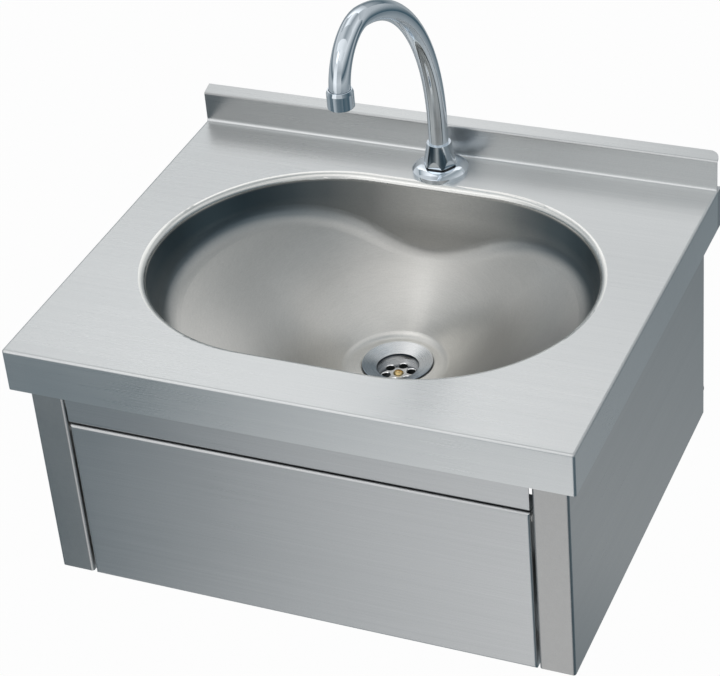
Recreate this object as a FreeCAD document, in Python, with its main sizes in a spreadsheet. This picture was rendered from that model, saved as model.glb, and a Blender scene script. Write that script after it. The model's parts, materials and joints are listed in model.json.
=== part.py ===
import FreeCAD, Part
import math
import os
import Sketcher
from FreeCAD import Placement, Rotation, Vector

# Wall-hung stainless steel hand wash basin with a knee-operated tap.
# Frame: +X to the right, +Y to the wall, +Z up; the origin is on the wall plane, midway
# between the two wall fixing holes. Millimetres.

doc = FreeCAD.newDocument("hand_wash_basin")
sheet = doc.addObject("Spreadsheet::Sheet", "Sizes")

DRIVING_SIZES = [
    # worktop
    ("basin_width", 500),
    ("basin_depth", 410),
    ("sheet_thickness", 1.2),
    ("bend_radius", 2.4),
    ("flange_height", 40),
    ("upstand_height", 30),
    ("upstand_depth", 12),
    ("upstand_rise", 3.5),
    ("upstand_end_gap", 0.8),
    ("upstand_corner_radius", 9),
    ("cove_radius", 2.6),
    # drawn bowl
    ("bowl_length", 410),
    ("bowl_front_land", 51),
    ("bowl_rear_land", 63),
    ("bowl_sheet", 1.0),
    ("lip_radius", 6),
    ("wall_draft", 0.2),
    ("floor_edge_depth", 30),
    ("floor_tilt", 9.5),
    ("flare_radius", 300),
    ("bowl_depth", 126),
    ("blend_radius", 24),
    ("land_blend_radius", 10),
    ("drain_offset", 41),
    ("drain_land_radius", 46),
    ("drain_dish_radius", 34),
    ("drain_dish_depth", 4.5),
    ("drain_hole_radius", 22.5),
    # apron
    ("apron_inset", 11),
    ("apron_setback", 14.5),
    ("apron_height", 240),
    ("apron_rear_gap", 15),
    ("stile_width", 31),
    ("stile_return", 14),
    ("rear_flange_width", 24),
    ("top_flange_width", 14),
    ("rail_drop", 76),
    ("rail_return", 12),
    # wall rail
    ("fixing_drop", 21),
    ("fixing_spacing", 320),
    ("fixing_hole_radius", 4.5),
    ("rail_top_leg", 22),
    ("buffer_radius", 8),
    ("buffer_height_up", 16),
    ("buffer_stem_radius", 3),
    # knee panel and its pivots
    ("panel_gap", 2.2),
    ("panel_overhang", 1.5),
    ("panel_return", 24),
    ("panel_edge_radius", 2.4),
    ("pivot_drop", 8.5),
    ("pivot_setback", 7.4),
    ("pin_radius", 2.5),
    ("pin_head_radius", 4.6),
    ("pin_head_length", 2),
    ("bush_radius", 4),
    ("bush_flange_radius", 4.9),
    ("bush_flange_length", 1.5),
    ("running_clearance", 0.05),
    ("stop_gap", 0.3),
    ("stop_lug_width", 9),
    ("stop_lug_height", 20),
    ("stop_lug_up", 8),
    ("pad_side", 26),
    ("pad_thickness", 5),
    # knee valve
    ("valve_drop", 190),
    ("crossbar_setback", 58),
    ("crossbar_height", 46),
    ("crossbar_leg", 16),
    ("crossbar_sheet", 1.5),
    ("valve_neck_radius", 14),
    ("valve_neck_length", 12),
    ("valve_body_radius", 18),
    ("valve_body_length", 56),
    ("outlet_radius", 10),
    ("outlet_length", 12),
    ("port_radius", 12),
    ("port_reach", 28),
    ("port_station", 36),
    ("locknut_flats", 36),
    ("locknut_length", 6),
    ("hole_clearance", 0.3),
    ("stem_radius", 4),
    ("stem_engagement", 20),
    ("stem_bore_depth", 28),
    ("button_radius", 10),
    ("button_length", 6),
    ("button_crown", 1.2),
    ("striker_gap", 0.3),
    ("spring_mean_radius", 6.6),
    ("spring_wire_radius", 0.8),
    ("spring_turns", 5),
    ("spring_seat_gap", 0.1),
    ("union_flats", 24),
    ("union_hex_length", 8),
    ("union_reach", 12),
    ("union_body_radius", 11.5),
    ("union_edge_radius", 2),
    ("union_neck_radius", 9),
    ("union_neck_length", 4),
    ("union_thread_radius", 10.4775),
    ("union_thread_length", 12),
    ("union_bore_radius", 6),
    # waste
    ("waste_flange_radius", 32),
    ("waste_opening_radius", 19.2),
    ("waste_sheet", 1.2),
    ("waste_cup_depth", 10),
    ("strainer_drop", 8),
    ("strainer_hole_radius", 4),
    ("strainer_hole_bevel", 0.6),
    ("strainer_circle_radius", 11.6),
    ("waste_screw_radius", 3),
    ("waste_screw_length", 30),
    ("waste_screw_head_radius", 4.8),
    ("waste_screw_head_height", 3),
    ("waste_slot_width", 1.3),
    ("flange_seal_thickness", 0.8),
    ("body_seal_thickness", 2.5),
    ("waste_body_radius", 30),
    ("waste_body_rim", 4),
    ("waste_body_funnel", 26),
    ("waste_thread_radius", 20.955),
    ("waste_thread_length", 26),
    ("waste_wall", 3),
    ("spider_arm", 3),
    ("spider_height", 12),
    ("spider_hub_radius", 7),
    # tap
    ("tap_setback", 41),
    ("tap_hole_radius", 11),
    ("tap_flange_radius", 25.5),
    ("tap_flange_edge", 3.5),
    ("tap_base_height", 7),
    ("tap_dome_radius", 15.5),
    ("collar_radius", 12),
    ("collar_height", 16),
    ("tap_socket_floor", 3),
    ("shank_radius", 10),
    ("shank_length", 44),
    ("waterway_radius", 4),
    ("ring_seal_thickness", 1.5),
    ("ring_seal_radius", 13.4),
    ("nut_bottom_radius", 15.3),
    ("nut_top_radius", 11),
    ("nut_height", 21),
    ("nut_flats", 27.8),
    ("tap_washer_radius", 18),
    ("deck_seal_thickness", 2.5),
    ("tap_washer_thickness", 1.5),
    ("backnut_flats", 30),
    ("backnut_length", 8),
    # spout
    ("spout_radius", 9),
    ("spout_wall", 1.5),
    ("spout_riser", 49),
    ("spout_long_bend_radius", 181.5),
    ("spout_long_bend_angle", 77.4),
    ("spout_tight_bend_radius", 44),
    ("spout_drop", 3),
    ("aerator_radius", 11.3),
    ("aerator_height", 16.5),
    ("aerator_neck_radius", 10.2),
    ("aerator_shoulder", 3),
    ("aerator_bore_radius", 10),
    ("aerator_recess", 1),
    ("aerator_grip", 7.5),
    ("insert_thickness", 6),
    ("insert_hole_radius", 0.9),
    ("insert_circle_radius", 5.4),
    # feed pipe
    ("feed_radius", 5),
    ("feed_wall", 1),
    ("feed_bend_radius", 22),
    ("feed_detour", 66),
    ("feed_lead", 28),
    ("feed_nut_flats", 27),
    ("feed_nut_length", 14),
    ("feed_nut_grip", 8),
]


class Size:
    """A length together with the spreadsheet formula it comes from."""

    def __init__(self, value, formula):
        self.value = float(value)
        self.formula = formula

    def __add__(self, other):
        other = as_size(other)
        return Size(self.value + other.value, f"({self.formula} + {other.formula})")

    def __radd__(self, other):
        return as_size(other) + self

    def __sub__(self, other):
        other = as_size(other)
        return Size(self.value - other.value, f"({self.formula} - {other.formula})")

    def __rsub__(self, other):
        return as_size(other) - self

    def __mul__(self, other):
        other = as_size(other)
        return Size(self.value * other.value, f"({self.formula} * {other.formula})")

    def __rmul__(self, other):
        return as_size(other) * self

    def __truediv__(self, other):
        other = as_size(other)
        return Size(self.value / other.value, f"({self.formula} / {other.formula})")

    def __neg__(self):
        return Size(-self.value, f"(0 - {self.formula})")


def as_size(number):
    if isinstance(number, Size):
        return number
    return Size(number, f"{float(number):.9f}")


def cosine(angle):
    return Size(math.cos(math.radians(angle.value)), f"cos({angle.formula} * 1 deg)")


def sine(angle):
    return Size(math.sin(math.radians(angle.value)), f"sin({angle.formula} * 1 deg)")


def root(size):
    return Size(math.sqrt(size.value), f"sqrt({size.formula})")


def fill_sheet():
    sizes = {}
    for row, (alias, value) in enumerate(DRIVING_SIZES, start=1):
        sheet.set(f"A{row}", alias)
        sheet.set(f"B{row}", str(value))
        sheet.setAlias(f"B{row}", alias)
    doc.recompute()
    for alias, _ in DRIVING_SIZES:
        sizes[alias] = Size(getattr(sheet, alias), f"Sizes.{alias}")
    return sizes


S = fill_sheet()
TOLERANCE = 0.001
NODES = []

# Places that several pieces share.
DECK = S["fixing_drop"]
SHEET = S["sheet_thickness"]
HALF_WIDTH = S["basin_width"] / 2
FRONT = -S["basin_depth"]
UNDER_DECK = DECK - SHEET
UPSTAND_FACE = -S["upstand_depth"]
BOWL_RADIUS = (S["basin_depth"] - S["bowl_front_land"] - S["bowl_rear_land"]) / 2
BOWL_STRAIGHT = S["bowl_length"] / 2 - BOWL_RADIUS
BOWL_Y = FRONT + S["bowl_front_land"] + BOWL_RADIUS
DRAIN_Y = BOWL_Y + S["drain_offset"]
APRON_X = HALF_WIDTH - S["apron_inset"]
APRON_FRONT = FRONT + S["apron_setback"]
APRON_REAR = -S["apron_rear_gap"]
APRON_BOTTOM = DECK - S["apron_height"]
STILE_X = APRON_X - S["stile_width"]
RAIL_BOTTOM = DECK - S["rail_drop"]
PANEL_X = STILE_X - S["panel_gap"]
PANEL_TOP = RAIL_BOTTOM - S["panel_gap"]
PANEL_BOTTOM = APRON_BOTTOM - S["panel_overhang"]
PIVOT_Y = APRON_FRONT + S["pivot_setback"]
PIVOT_Z = PANEL_TOP - S["pivot_drop"]
VALVE_Z = DECK - S["valve_drop"]
CROSSBAR_Y = FRONT + S["crossbar_setback"]
CROSSBAR_REAR = CROSSBAR_Y + S["crossbar_sheet"]
NECK_FRONT = CROSSBAR_REAR - S["valve_neck_length"]
STRIKER_Y = APRON_FRONT + SHEET + S["pad_thickness"]
TAP_Y = -S["tap_setback"]
TAP_ORIGIN = (0, TAP_Y, DECK)
WASTE_ORIGIN = (0, DRAIN_Y, DECK - S["bowl_depth"])
BUFFER_X = APRON_X - S["rear_flange_width"] / 2
BUFFER_Z = APRON_BOTTOM + S["buffer_height_up"]
VALVE_REAR = CROSSBAR_REAR + S["valve_body_length"]
OUTLET_END = VALVE_REAR + S["outlet_length"]
PORT_Y = CROSSBAR_REAR + S["port_station"]
BUTTON_FRONT = STRIKER_Y + S["striker_gap"]
BUTTON_REAR = BUTTON_FRONT + S["button_length"]
SHANK_END = DECK - S["shank_length"]

# The spout's bends, from the tap's axis at the top of the worktop.
BEND_COSINE, BEND_SINE = cosine(S["spout_long_bend_angle"]), sine(S["spout_long_bend_angle"])
SPOUT_TURN_Y = (BEND_COSINE - 1) * S["spout_long_bend_radius"]
SPOUT_TURN_Z = S["spout_riser"] + BEND_SINE * S["spout_long_bend_radius"]
SPOUT_REACH = (BEND_COSINE + 1) * S["spout_tight_bend_radius"] - SPOUT_TURN_Y
SPOUT_DROP_Z = SPOUT_TURN_Z - BEND_SINE * S["spout_tight_bend_radius"]
SPOUT_END_Z = SPOUT_DROP_Z - S["spout_drop"]
AERATOR_ORIGIN = (0, TAP_Y - SPOUT_REACH, DECK + SPOUT_END_Z + S["aerator_grip"])

# The waste flange's inner edge and its strainer, from the bowl's drain land.
FLANGE_SLOPE = S["drain_dish_depth"] / (S["drain_dish_radius"] - S["drain_hole_radius"])
FLANGE_LIP = ((S["waste_opening_radius"] - S["drain_dish_radius"]) * FLANGE_SLOPE
              + S["flange_seal_thickness"] + S["waste_sheet"])
STRAINER_TOP = FLANGE_LIP - S["strainer_drop"]


# Document helpers

def new_body(name, placement=None):
    """A body whose label names its file; placement is three sizes for its origin."""
    body = doc.addObject("PartDesign::Body", name)
    body.Label = name
    if placement:
        place(body, placement)
    return body


def place(item, base):
    for axis, size in zip("xyz", base):
        item.setExpression(f"Placement.Base.{axis}", as_size(size).formula)


def node(item):
    NODES.append(item)
    return item


def origin_feature(body, role):
    return next(f for f in body.Origin.OriginFeatures if f.Role == role)


def new_sketch(body, name, plane, offset=0):
    """A sketch parallel to an origin plane, moved along that plane's own normal axis."""
    sketch = body.newObject("Sketcher::SketchObject", name)
    sketch.AttachmentSupport = [(origin_feature(body, plane), "")]
    sketch.MapMode = "FlatFace"
    shift = as_size(offset)
    if plane == "XZ_Plane":
        shift = -shift
    sketch.AttachmentOffset = Placement(Vector(0, 0, shift.value), Rotation())
    sketch.setExpression("AttachmentOffset.Base.z", shift.formula)
    return sketch


def tilt(sketch, level, angle):
    """Raises a sketch's origin to a level and turns the sketch about it, within its own plane."""
    sketch.AttachmentOffset = Placement(Vector(0, level.value, 0), Rotation(Vector(0, 0, 1), angle.value))
    sketch.setExpression("AttachmentOffset.Base.y", level.formula)
    sketch.setExpression("AttachmentOffset.Rotation.Angle", angle.formula)


def bind(sketch, constraint, size):
    index = sketch.addConstraint(constraint)
    sketch.setExpression(f"Constraints[{index}]", size.formula)


def pin_point(sketch, geometry, position, u, v):
    """Ties a sketch point to its two coordinates."""
    bind(sketch, Sketcher.Constraint("DistanceX", -1, 1, geometry, position, u.value), u)
    bind(sketch, Sketcher.Constraint("DistanceY", -1, 1, geometry, position, v.value), v)


def arc_between(start, end, radius, turn):
    """Arc from start to end; turn is +1 to the left and -1 to the right, under half a circle."""
    middle = (start + end) / 2
    chord = end - start
    half = chord.Length / 2
    rise = math.sqrt(max(radius * radius - half * half, 0.0))
    normal = Vector(-chord.y, chord.x, 0).normalize()
    centre = middle + normal * rise * turn
    first, last = (start, end) if turn > 0 else (end, start)
    angles = [math.atan2(p.y - centre.y, p.x - centre.x) for p in (first, last)]
    circle = Part.Circle(centre, Vector(0, 0, 1), radius)
    return Part.ArcOfCircle(circle, angles[0], angles[1])


def outline(sketch, corners, closed=True):
    """Lines and arcs through corners (u, v) or (u, v, radius, turn): an arc to the next corner."""
    corners = [tuple(as_size(c) for c in corner[:3]) + tuple(corner[3:]) for corner in corners]
    count = len(corners) if closed else len(corners) - 1
    ends = []
    for index in range(count):
        here = corners[index]
        there = corners[(index + 1) % len(corners)]
        start = Vector(here[0].value, here[1].value, 0)
        end = Vector(there[0].value, there[1].value, 0)
        if len(here) == 2:
            geometry = sketch.addGeometry(Part.LineSegment(start, end), False)
            ends.append((geometry, 1, 2))
        else:
            radius, turn = here[2], here[3]
            geometry = sketch.addGeometry(arc_between(start, end, radius.value, turn), False)
            ends.append((geometry, 1, 2) if turn > 0 else (geometry, 2, 1))
    for index in range(count if closed else count - 1):
        this, following = ends[index], ends[(index + 1) % count]
        sketch.addConstraint(Sketcher.Constraint("Coincident", this[0], this[2], following[0], following[1]))
    for index in range(count):
        geometry, first, _ = ends[index]
        pin_point(sketch, geometry, first, corners[index][0], corners[index][1])
        if len(corners[index]) > 2:
            radius = corners[index][2]
            bind(sketch, Sketcher.Constraint("Radius", geometry, radius.value), radius)
    if not closed:
        geometry, _, last = ends[-1]
        pin_point(sketch, geometry, last, corners[-1][0], corners[-1][1])
    return sketch


def rectangle(sketch, low_u, low_v, high_u, high_v):
    return outline(sketch, [(low_u, low_v), (high_u, low_v), (high_u, high_v), (low_u, high_v)])


def circle(sketch, u, v, radius):
    u, v, radius = as_size(u), as_size(v), as_size(radius)
    round_line = Part.Circle(Vector(u.value, v.value, 0), Vector(0, 0, 1), radius.value)
    geometry = sketch.addGeometry(round_line, False)
    pin_point(sketch, geometry, 3, u, v)
    bind(sketch, Sketcher.Constraint("Radius", geometry, radius.value), radius)
    return sketch


def hexagon(sketch, flats, u=0, v=0):
    """Hexagon with a corner on the first axis, given across its flats."""
    corner = flats / math.sqrt(3)
    points = []
    for step in range(6):
        angle = math.radians(60 * step)
        points.append((as_size(u) + corner * math.cos(angle), as_size(v) + corner * math.sin(angle)))
    return outline(sketch, points)


def oval(sketch, v, radius, straight):
    """Two half circles joined by straights of twice the given length, its centre at (0, v)."""
    v, radius, straight = as_size(v), as_size(radius), as_size(straight)
    right = Part.Circle(Vector(straight.value, v.value, 0), Vector(0, 0, 1), radius.value)
    left = Part.Circle(Vector(-straight.value, v.value, 0), Vector(0, 0, 1), radius.value)
    quarter = math.pi / 2
    right_arc = sketch.addGeometry(Part.ArcOfCircle(right, -quarter, quarter), False)
    low, high = v.value - radius.value, v.value + radius.value
    back = Part.LineSegment(Vector(straight.value, high, 0), Vector(-straight.value, high, 0))
    back_line = sketch.addGeometry(back, False)
    left_arc = sketch.addGeometry(Part.ArcOfCircle(left, quarter, 3 * quarter), False)
    front = Part.LineSegment(Vector(-straight.value, low, 0), Vector(straight.value, low, 0))
    front_line = sketch.addGeometry(front, False)
    chain = [right_arc, back_line, left_arc, front_line]
    for this, following in zip(chain, chain[1:] + chain[:1]):
        sketch.addConstraint(Sketcher.Constraint("Tangent", this, 2, following, 1))
    for line in (back_line, front_line):
        sketch.addConstraint(Sketcher.Constraint("Horizontal", line))
    pin_point(sketch, right_arc, 3, straight, v)
    bind(sketch, Sketcher.Constraint("DistanceX", -1, 1, left_arc, 3, -straight.value), -straight)
    bind(sketch, Sketcher.Constraint("Radius", right_arc, radius.value), radius)
    return sketch


def volume_of(body):
    return body.Shape.Volume if body.Tip else 0.0


def pad(body, name, sketch, length, both_ways=False, backwards=False):
    feature = body.newObject("PartDesign::Pad", name)
    feature.Profile = sketch
    if both_ways:
        feature.SideType = "Symmetric"
    feature.Reversed = backwards
    length = as_size(length)
    feature.Length = length.value
    feature.setExpression("Length", length.formula)
    doc.recompute()
    return feature


def pocket(body, name, sketch, length, both_ways=False, backwards=False):
    """Cuts the sketch from the body and makes sure that something was cut."""
    before = volume_of(body)
    feature = body.newObject("PartDesign::Pocket", name)
    feature.Profile = sketch
    if both_ways:
        feature.SideType = "Symmetric"
    feature.Reversed = backwards
    length = as_size(length)
    feature.Length = length.value
    feature.setExpression("Length", length.formula)
    doc.recompute()
    if volume_of(body) > before - TOLERANCE:
        raise RuntimeError(f"{name} cuts nothing")
    return feature


def revolve(body, name, sketch, axis="V_Axis", cut=False):
    before = volume_of(body)
    feature = body.newObject("PartDesign::Groove" if cut else "PartDesign::Revolution", name)
    feature.Profile = sketch
    feature.ReferenceAxis = (sketch, [axis])
    feature.Angle = 360
    doc.recompute()
    if cut and volume_of(body) > before - TOLERANCE:
        raise RuntimeError(f"{name} cuts nothing")
    return feature


def loft(body, name, sections, cut=False):
    feature = body.newObject("PartDesign::SubtractiveLoft" if cut else "PartDesign::AdditiveLoft", name)
    feature.Profile = sections[0]
    feature.Sections = sections[1:]
    feature.Ruled = True
    doc.recompute()
    return feature


def sweep(body, name, profile, path, edge_count):
    feature = body.newObject("PartDesign::AdditivePipe", name)
    feature.Profile = profile
    feature.Spine = (path, [f"Edge{number}" for number in range(1, edge_count + 1)])
    doc.recompute()
    return feature


def dress(body, name, kind, amount, test):
    """Fillet or chamfer on every edge of the body that the test accepts."""
    base = body.Tip
    edges = [f"Edge{i}" for i, edge in enumerate(base.Shape.Edges, start=1) if test(edge)]
    if not edges:
        raise RuntimeError(f"{name} finds no edge")
    feature = body.newObject(f"PartDesign::{kind}", name)
    feature.Base = (base, edges)
    amount = as_size(amount)
    attribute = "Radius" if kind == "Fillet" else "Size"
    setattr(feature, attribute, amount.value)
    feature.setExpression(attribute, amount.formula)
    doc.recompute()
    return feature


def flat_at(edge, **places):
    """True when the edge stays at each given coordinate: flat_at(edge, y=..., z=...)."""
    box = edge.BoundBox
    for axis, size in places.items():
        level = as_size(size).value
        low, high = getattr(box, f"{axis.upper()}Min"), getattr(box, f"{axis.upper()}Max")
        if abs(low - level) > TOLERANCE * 10 or abs(high - level) > TOLERANCE * 10:
            return False
    return True


def round_at(edge, radius, **places):
    """True for a circular edge of this radius that stays at the given coordinates."""
    if not isinstance(edge.Curve, Part.Circle):
        return False
    return abs(edge.Curve.Radius - as_size(radius).value) < TOLERANCE * 10 and flat_at(edge, **places)


def mirrored_pair(name, item):
    """One node of two separate solids: the item and its mirror image across the middle plane."""
    mirror = doc.addObject("Part::Mirroring", f"{name}_mirror")
    mirror.Source = item
    mirror.Normal = (1, 0, 0)
    pair = doc.addObject("Part::Compound", name)
    pair.Links = [item, mirror]
    pair.Label = name
    return node(pair)


# Sheet metal shell

def make_worktop():
    body = new_body("worktop")
    tray = rectangle(new_sketch(body, "worktop_plan", "XY_Plane", DECK - S["flange_height"]),
                     -HALF_WIDTH, FRONT, HALF_WIDTH, UPSTAND_FACE)
    pad(body, "worktop_block", tray, S["flange_height"])
    sides = (HALF_WIDTH, -HALF_WIDTH)
    dress(body, "worktop_bends", "Fillet", S["bend_radius"],
          lambda e: flat_at(e, y=FRONT, z=DECK)
          or any(flat_at(e, x=side, z=DECK) or flat_at(e, x=side, y=FRONT) for side in sides))
    hollow = rectangle(new_sketch(body, "worktop_hollow", "XY_Plane", DECK - S["flange_height"]),
                       -HALF_WIDTH + SHEET, FRONT + SHEET, HALF_WIDTH - SHEET, UPSTAND_FACE + SHEET)
    pocket(body, "worktop_underside", hollow, S["flange_height"] - SHEET, backwards=True)
    inner = (HALF_WIDTH - SHEET, -HALF_WIDTH + SHEET)
    dress(body, "worktop_inner_bends", "Fillet", S["bend_radius"] - SHEET,
          lambda e: flat_at(e, y=FRONT + SHEET, z=UNDER_DECK)
          or any(flat_at(e, x=side, z=UNDER_DECK) for side in inner))
    top = DECK + S["upstand_height"]
    section = outline(new_sketch(body, "upstand_section", "YZ_Plane"), [
        (UPSTAND_FACE, UNDER_DECK),
        (UPSTAND_FACE + SHEET, UNDER_DECK),
        (UPSTAND_FACE + SHEET, top - SHEET),
        (0, top + S["upstand_rise"] - SHEET),
        (0, top + S["upstand_rise"]),
        (UPSTAND_FACE, top),
    ])
    pad(body, "upstand", section, S["basin_width"] - 2 * S["upstand_end_gap"], both_ways=True)
    dress(body, "upstand_cove", "Fillet", S["cove_radius"],
          lambda e: flat_at(e, y=UPSTAND_FACE, z=DECK) and e.Length > S["basin_width"].value / 2)
    dress(body, "upstand_bend", "Fillet", S["bend_radius"],
          lambda e: flat_at(e, y=UPSTAND_FACE, z=top))
    end_x = HALF_WIDTH - S["upstand_end_gap"]
    corner = S["upstand_corner_radius"]
    trim = outline(new_sketch(body, "upstand_corner", "XY_Plane", top + S["upstand_rise"]),
                   [(end_x - corner, 0, corner, -1), (end_x, -corner), (end_x, 0)])
    pocket(body, "upstand_corner_trim", trim, S["upstand_rise"] + 2 * SHEET)
    openings = new_sketch(body, "worktop_openings", "XY_Plane", DECK)
    oval(openings, BOWL_Y, BOWL_RADIUS, BOWL_STRAIGHT)
    circle(openings, 0, TAP_Y, S["tap_hole_radius"])
    pocket(body, "worktop_cut_outs", openings, S["flange_height"])
    return node(body)


def bowl_form(body, grow):
    """Fills a body with the bowl's inner form, grown outwards.

    A drafted oval wall meets a floor that flares round the drain. The drain is off centre and the
    flare's axis leans forward, so the floor meets the wall deep beside the drain and shallow at the
    two ends, and lies low in front.
    """
    lip = S["lip_radius"]
    depth = S["bowl_depth"]
    mouth = BOWL_RADIUS - lip + grow
    land = -depth - grow
    foot = mouth - S["wall_draft"] * (depth + grow - lip)
    rim_level = oval(new_sketch(body, f"{body.Name}_mouth", "XY_Plane", -lip),
                     -S["drain_offset"], mouth, BOWL_STRAIGHT)
    foot_level = oval(new_sketch(body, f"{body.Name}_foot", "XY_Plane", land),
                      -S["drain_offset"], foot, BOWL_STRAIGHT)
    loft(body, f"{body.Name}_wall", [rim_level, foot_level])

    flare = S["flare_radius"]
    fall = depth - S["floor_edge_depth"]
    crest = S["drain_land_radius"] + root(flare * flare - (flare - fall) * (flare - fall))
    below = S["land_blend_radius"]
    curve = flare - grow
    start = crest - root(curve * curve - (flare - fall - below) * (flare - fall - below))
    floor = new_sketch(body, f"{body.Name}_floor_section", "YZ_Plane")
    tilt(floor, -depth, S["floor_tilt"])
    outline(floor, [
        (start, -below),
        (S["bowl_length"], -depth),
        (S["bowl_length"], fall - grow),
        (crest, fall - grow, curve, 1),
    ])
    revolve(body, f"{body.Name}_floor", floor, cut=True)
    dress(body, f"{body.Name}_land_blend", "Fillet", S["land_blend_radius"] + grow,
          lambda e: flat_at(e, z=land))
    dress(body, f"{body.Name}_wall_blend", "Fillet", S["blend_radius"] + grow,
          lambda e: e.BoundBox.ZMax < -S["floor_edge_depth"].value + 8
          and e.BoundBox.ZMin > land.value + 10
          and e.BoundBox.DiagonalLength > S["bowl_length"].value / 4)


def make_basin_bowl():
    """Drawn bowl, built about the drain axis: rolled lip, drafted wall, funnel and dished seat."""
    skin = S["bowl_sheet"]
    lip = S["lip_radius"]
    land = -S["bowl_depth"]
    front_rim = -S["drain_offset"] - BOWL_RADIUS
    hollow = new_body("bowl_inside")
    bowl_form(hollow, as_size(0))
    body = new_body("basin_bowl", (0, DRAIN_Y, DECK))
    bowl_form(body, skin)
    drawing = body.newObject("PartDesign::Boolean", "drawn_sheet")
    drawing.Type = "Cut"
    drawing.setObjects([hollow])
    doc.recompute()

    section = outline(new_sketch(body, "lip_section", "YZ_Plane", BOWL_STRAIGHT), [
        (front_rim, 0, lip, -1),
        (front_rim + lip, -lip),
        (front_rim + lip - skin, -lip, lip - skin, 1),
        (front_rim, -skin),
    ])
    path = oval(new_sketch(body, "lip_path", "XY_Plane"), -S["drain_offset"], BOWL_RADIUS, BOWL_STRAIGHT)
    sweep(body, "rolled_lip", section, path, 4)

    hole = circle(new_sketch(body, "dish_hole", "XY_Plane", land), 0, 0, S["drain_dish_radius"])
    pocket(body, "dish_opening", hole, 2 * skin)
    dish = outline(new_sketch(body, "dish_section", "XZ_Plane"), [
        (S["drain_dish_radius"], land),
        (S["drain_hole_radius"], land - S["drain_dish_depth"]),
        (S["drain_hole_radius"], land - S["drain_dish_depth"] - skin),
        (S["drain_dish_radius"], land - skin),
    ])
    revolve(body, "drain_dish", dish)
    return node(body)


def make_side_panel(name, side):
    """Folded side: outer wall, front stile with its return, rear flange and weld flange."""
    body = new_body(name)
    bend = S["bend_radius"]
    x_wall = APRON_X * side
    x_wall_in = (APRON_X - SHEET) * side
    x_stile = STILE_X * side
    x_stile_in = (STILE_X + SHEET) * side
    x_rear = (APRON_X - S["rear_flange_width"]) * side
    plan = outline(new_sketch(body, f"{name}_plan", "XY_Plane", APRON_BOTTOM), [
        (x_rear, APRON_REAR),
        (x_wall, APRON_REAR),
        (x_wall, APRON_FRONT),
        (x_stile, APRON_FRONT),
        (x_stile, APRON_FRONT + S["stile_return"]),
        (x_stile_in, APRON_FRONT + S["stile_return"]),
        (x_stile_in, APRON_FRONT + SHEET),
        (x_wall_in, APRON_FRONT + SHEET),
        (x_wall_in, APRON_REAR - SHEET),
        (x_rear, APRON_REAR - SHEET),
    ])
    pad(body, f"{name}_sheet", plan, UNDER_DECK - APRON_BOTTOM)
    dress(body, f"{name}_outer_bends", "Fillet", bend,
          lambda e: flat_at(e, x=x_wall, y=APRON_REAR) or flat_at(e, x=x_wall, y=APRON_FRONT)
          or flat_at(e, x=x_stile, y=APRON_FRONT))
    dress(body, f"{name}_inner_bends", "Fillet", bend - SHEET,
          lambda e: flat_at(e, x=x_wall_in, y=APRON_REAR - SHEET)
          or flat_at(e, x=x_wall_in, y=APRON_FRONT + SHEET)
          or flat_at(e, x=x_stile_in, y=APRON_FRONT + SHEET))
    weld_flange = rectangle(new_sketch(body, f"{name}_weld_plan", "XY_Plane", UNDER_DECK),
                            x_wall - S["top_flange_width"] * side, -S["apron_rear_gap"] - S["rail_top_leg"],
                            x_wall, APRON_FRONT + 2 * S["stile_return"])
    pad(body, f"{name}_weld_flange", weld_flange, SHEET, backwards=True)
    pivot = circle(new_sketch(body, f"{name}_pivot", "YZ_Plane", x_stile), PIVOT_Y, PIVOT_Z,
                   S["pin_radius"] + S["running_clearance"])
    pocket(body, f"{name}_pivot_hole", pivot, 3 * SHEET, both_ways=True)
    buffer_hole = circle(new_sketch(body, f"{name}_buffer", "XZ_Plane", APRON_REAR), BUFFER_X * side,
                         BUFFER_Z, S["buffer_stem_radius"])
    pocket(body, f"{name}_buffer_hole", buffer_hole, 4 * SHEET, both_ways=True)
    return node(body)


def make_front_rail():
    body = new_body("front_rail")
    weld_leg = APRON_FRONT + S["rail_return"]
    section = outline(new_sketch(body, "front_rail_section", "YZ_Plane"), [
        (APRON_FRONT, UNDER_DECK),
        (weld_leg, UNDER_DECK),
        (weld_leg, UNDER_DECK - SHEET),
        (APRON_FRONT + SHEET, UNDER_DECK - SHEET),
        (APRON_FRONT + SHEET, RAIL_BOTTOM + SHEET),
        (weld_leg, RAIL_BOTTOM + SHEET),
        (weld_leg, RAIL_BOTTOM),
        (APRON_FRONT, RAIL_BOTTOM),
    ])
    pad(body, "front_rail_sheet", section, 2 * PANEL_X, both_ways=True)
    dress(body, "front_rail_bends", "Fillet", S["bend_radius"],
          lambda e: flat_at(e, y=APRON_FRONT, z=RAIL_BOTTOM) or flat_at(e, y=APRON_FRONT, z=UNDER_DECK))
    dress(body, "front_rail_inner_bends", "Fillet", S["bend_radius"] - SHEET,
          lambda e: flat_at(e, y=APRON_FRONT + SHEET, z=RAIL_BOTTOM + SHEET)
          or flat_at(e, y=APRON_FRONT + SHEET, z=UNDER_DECK - SHEET))
    return node(body)


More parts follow.
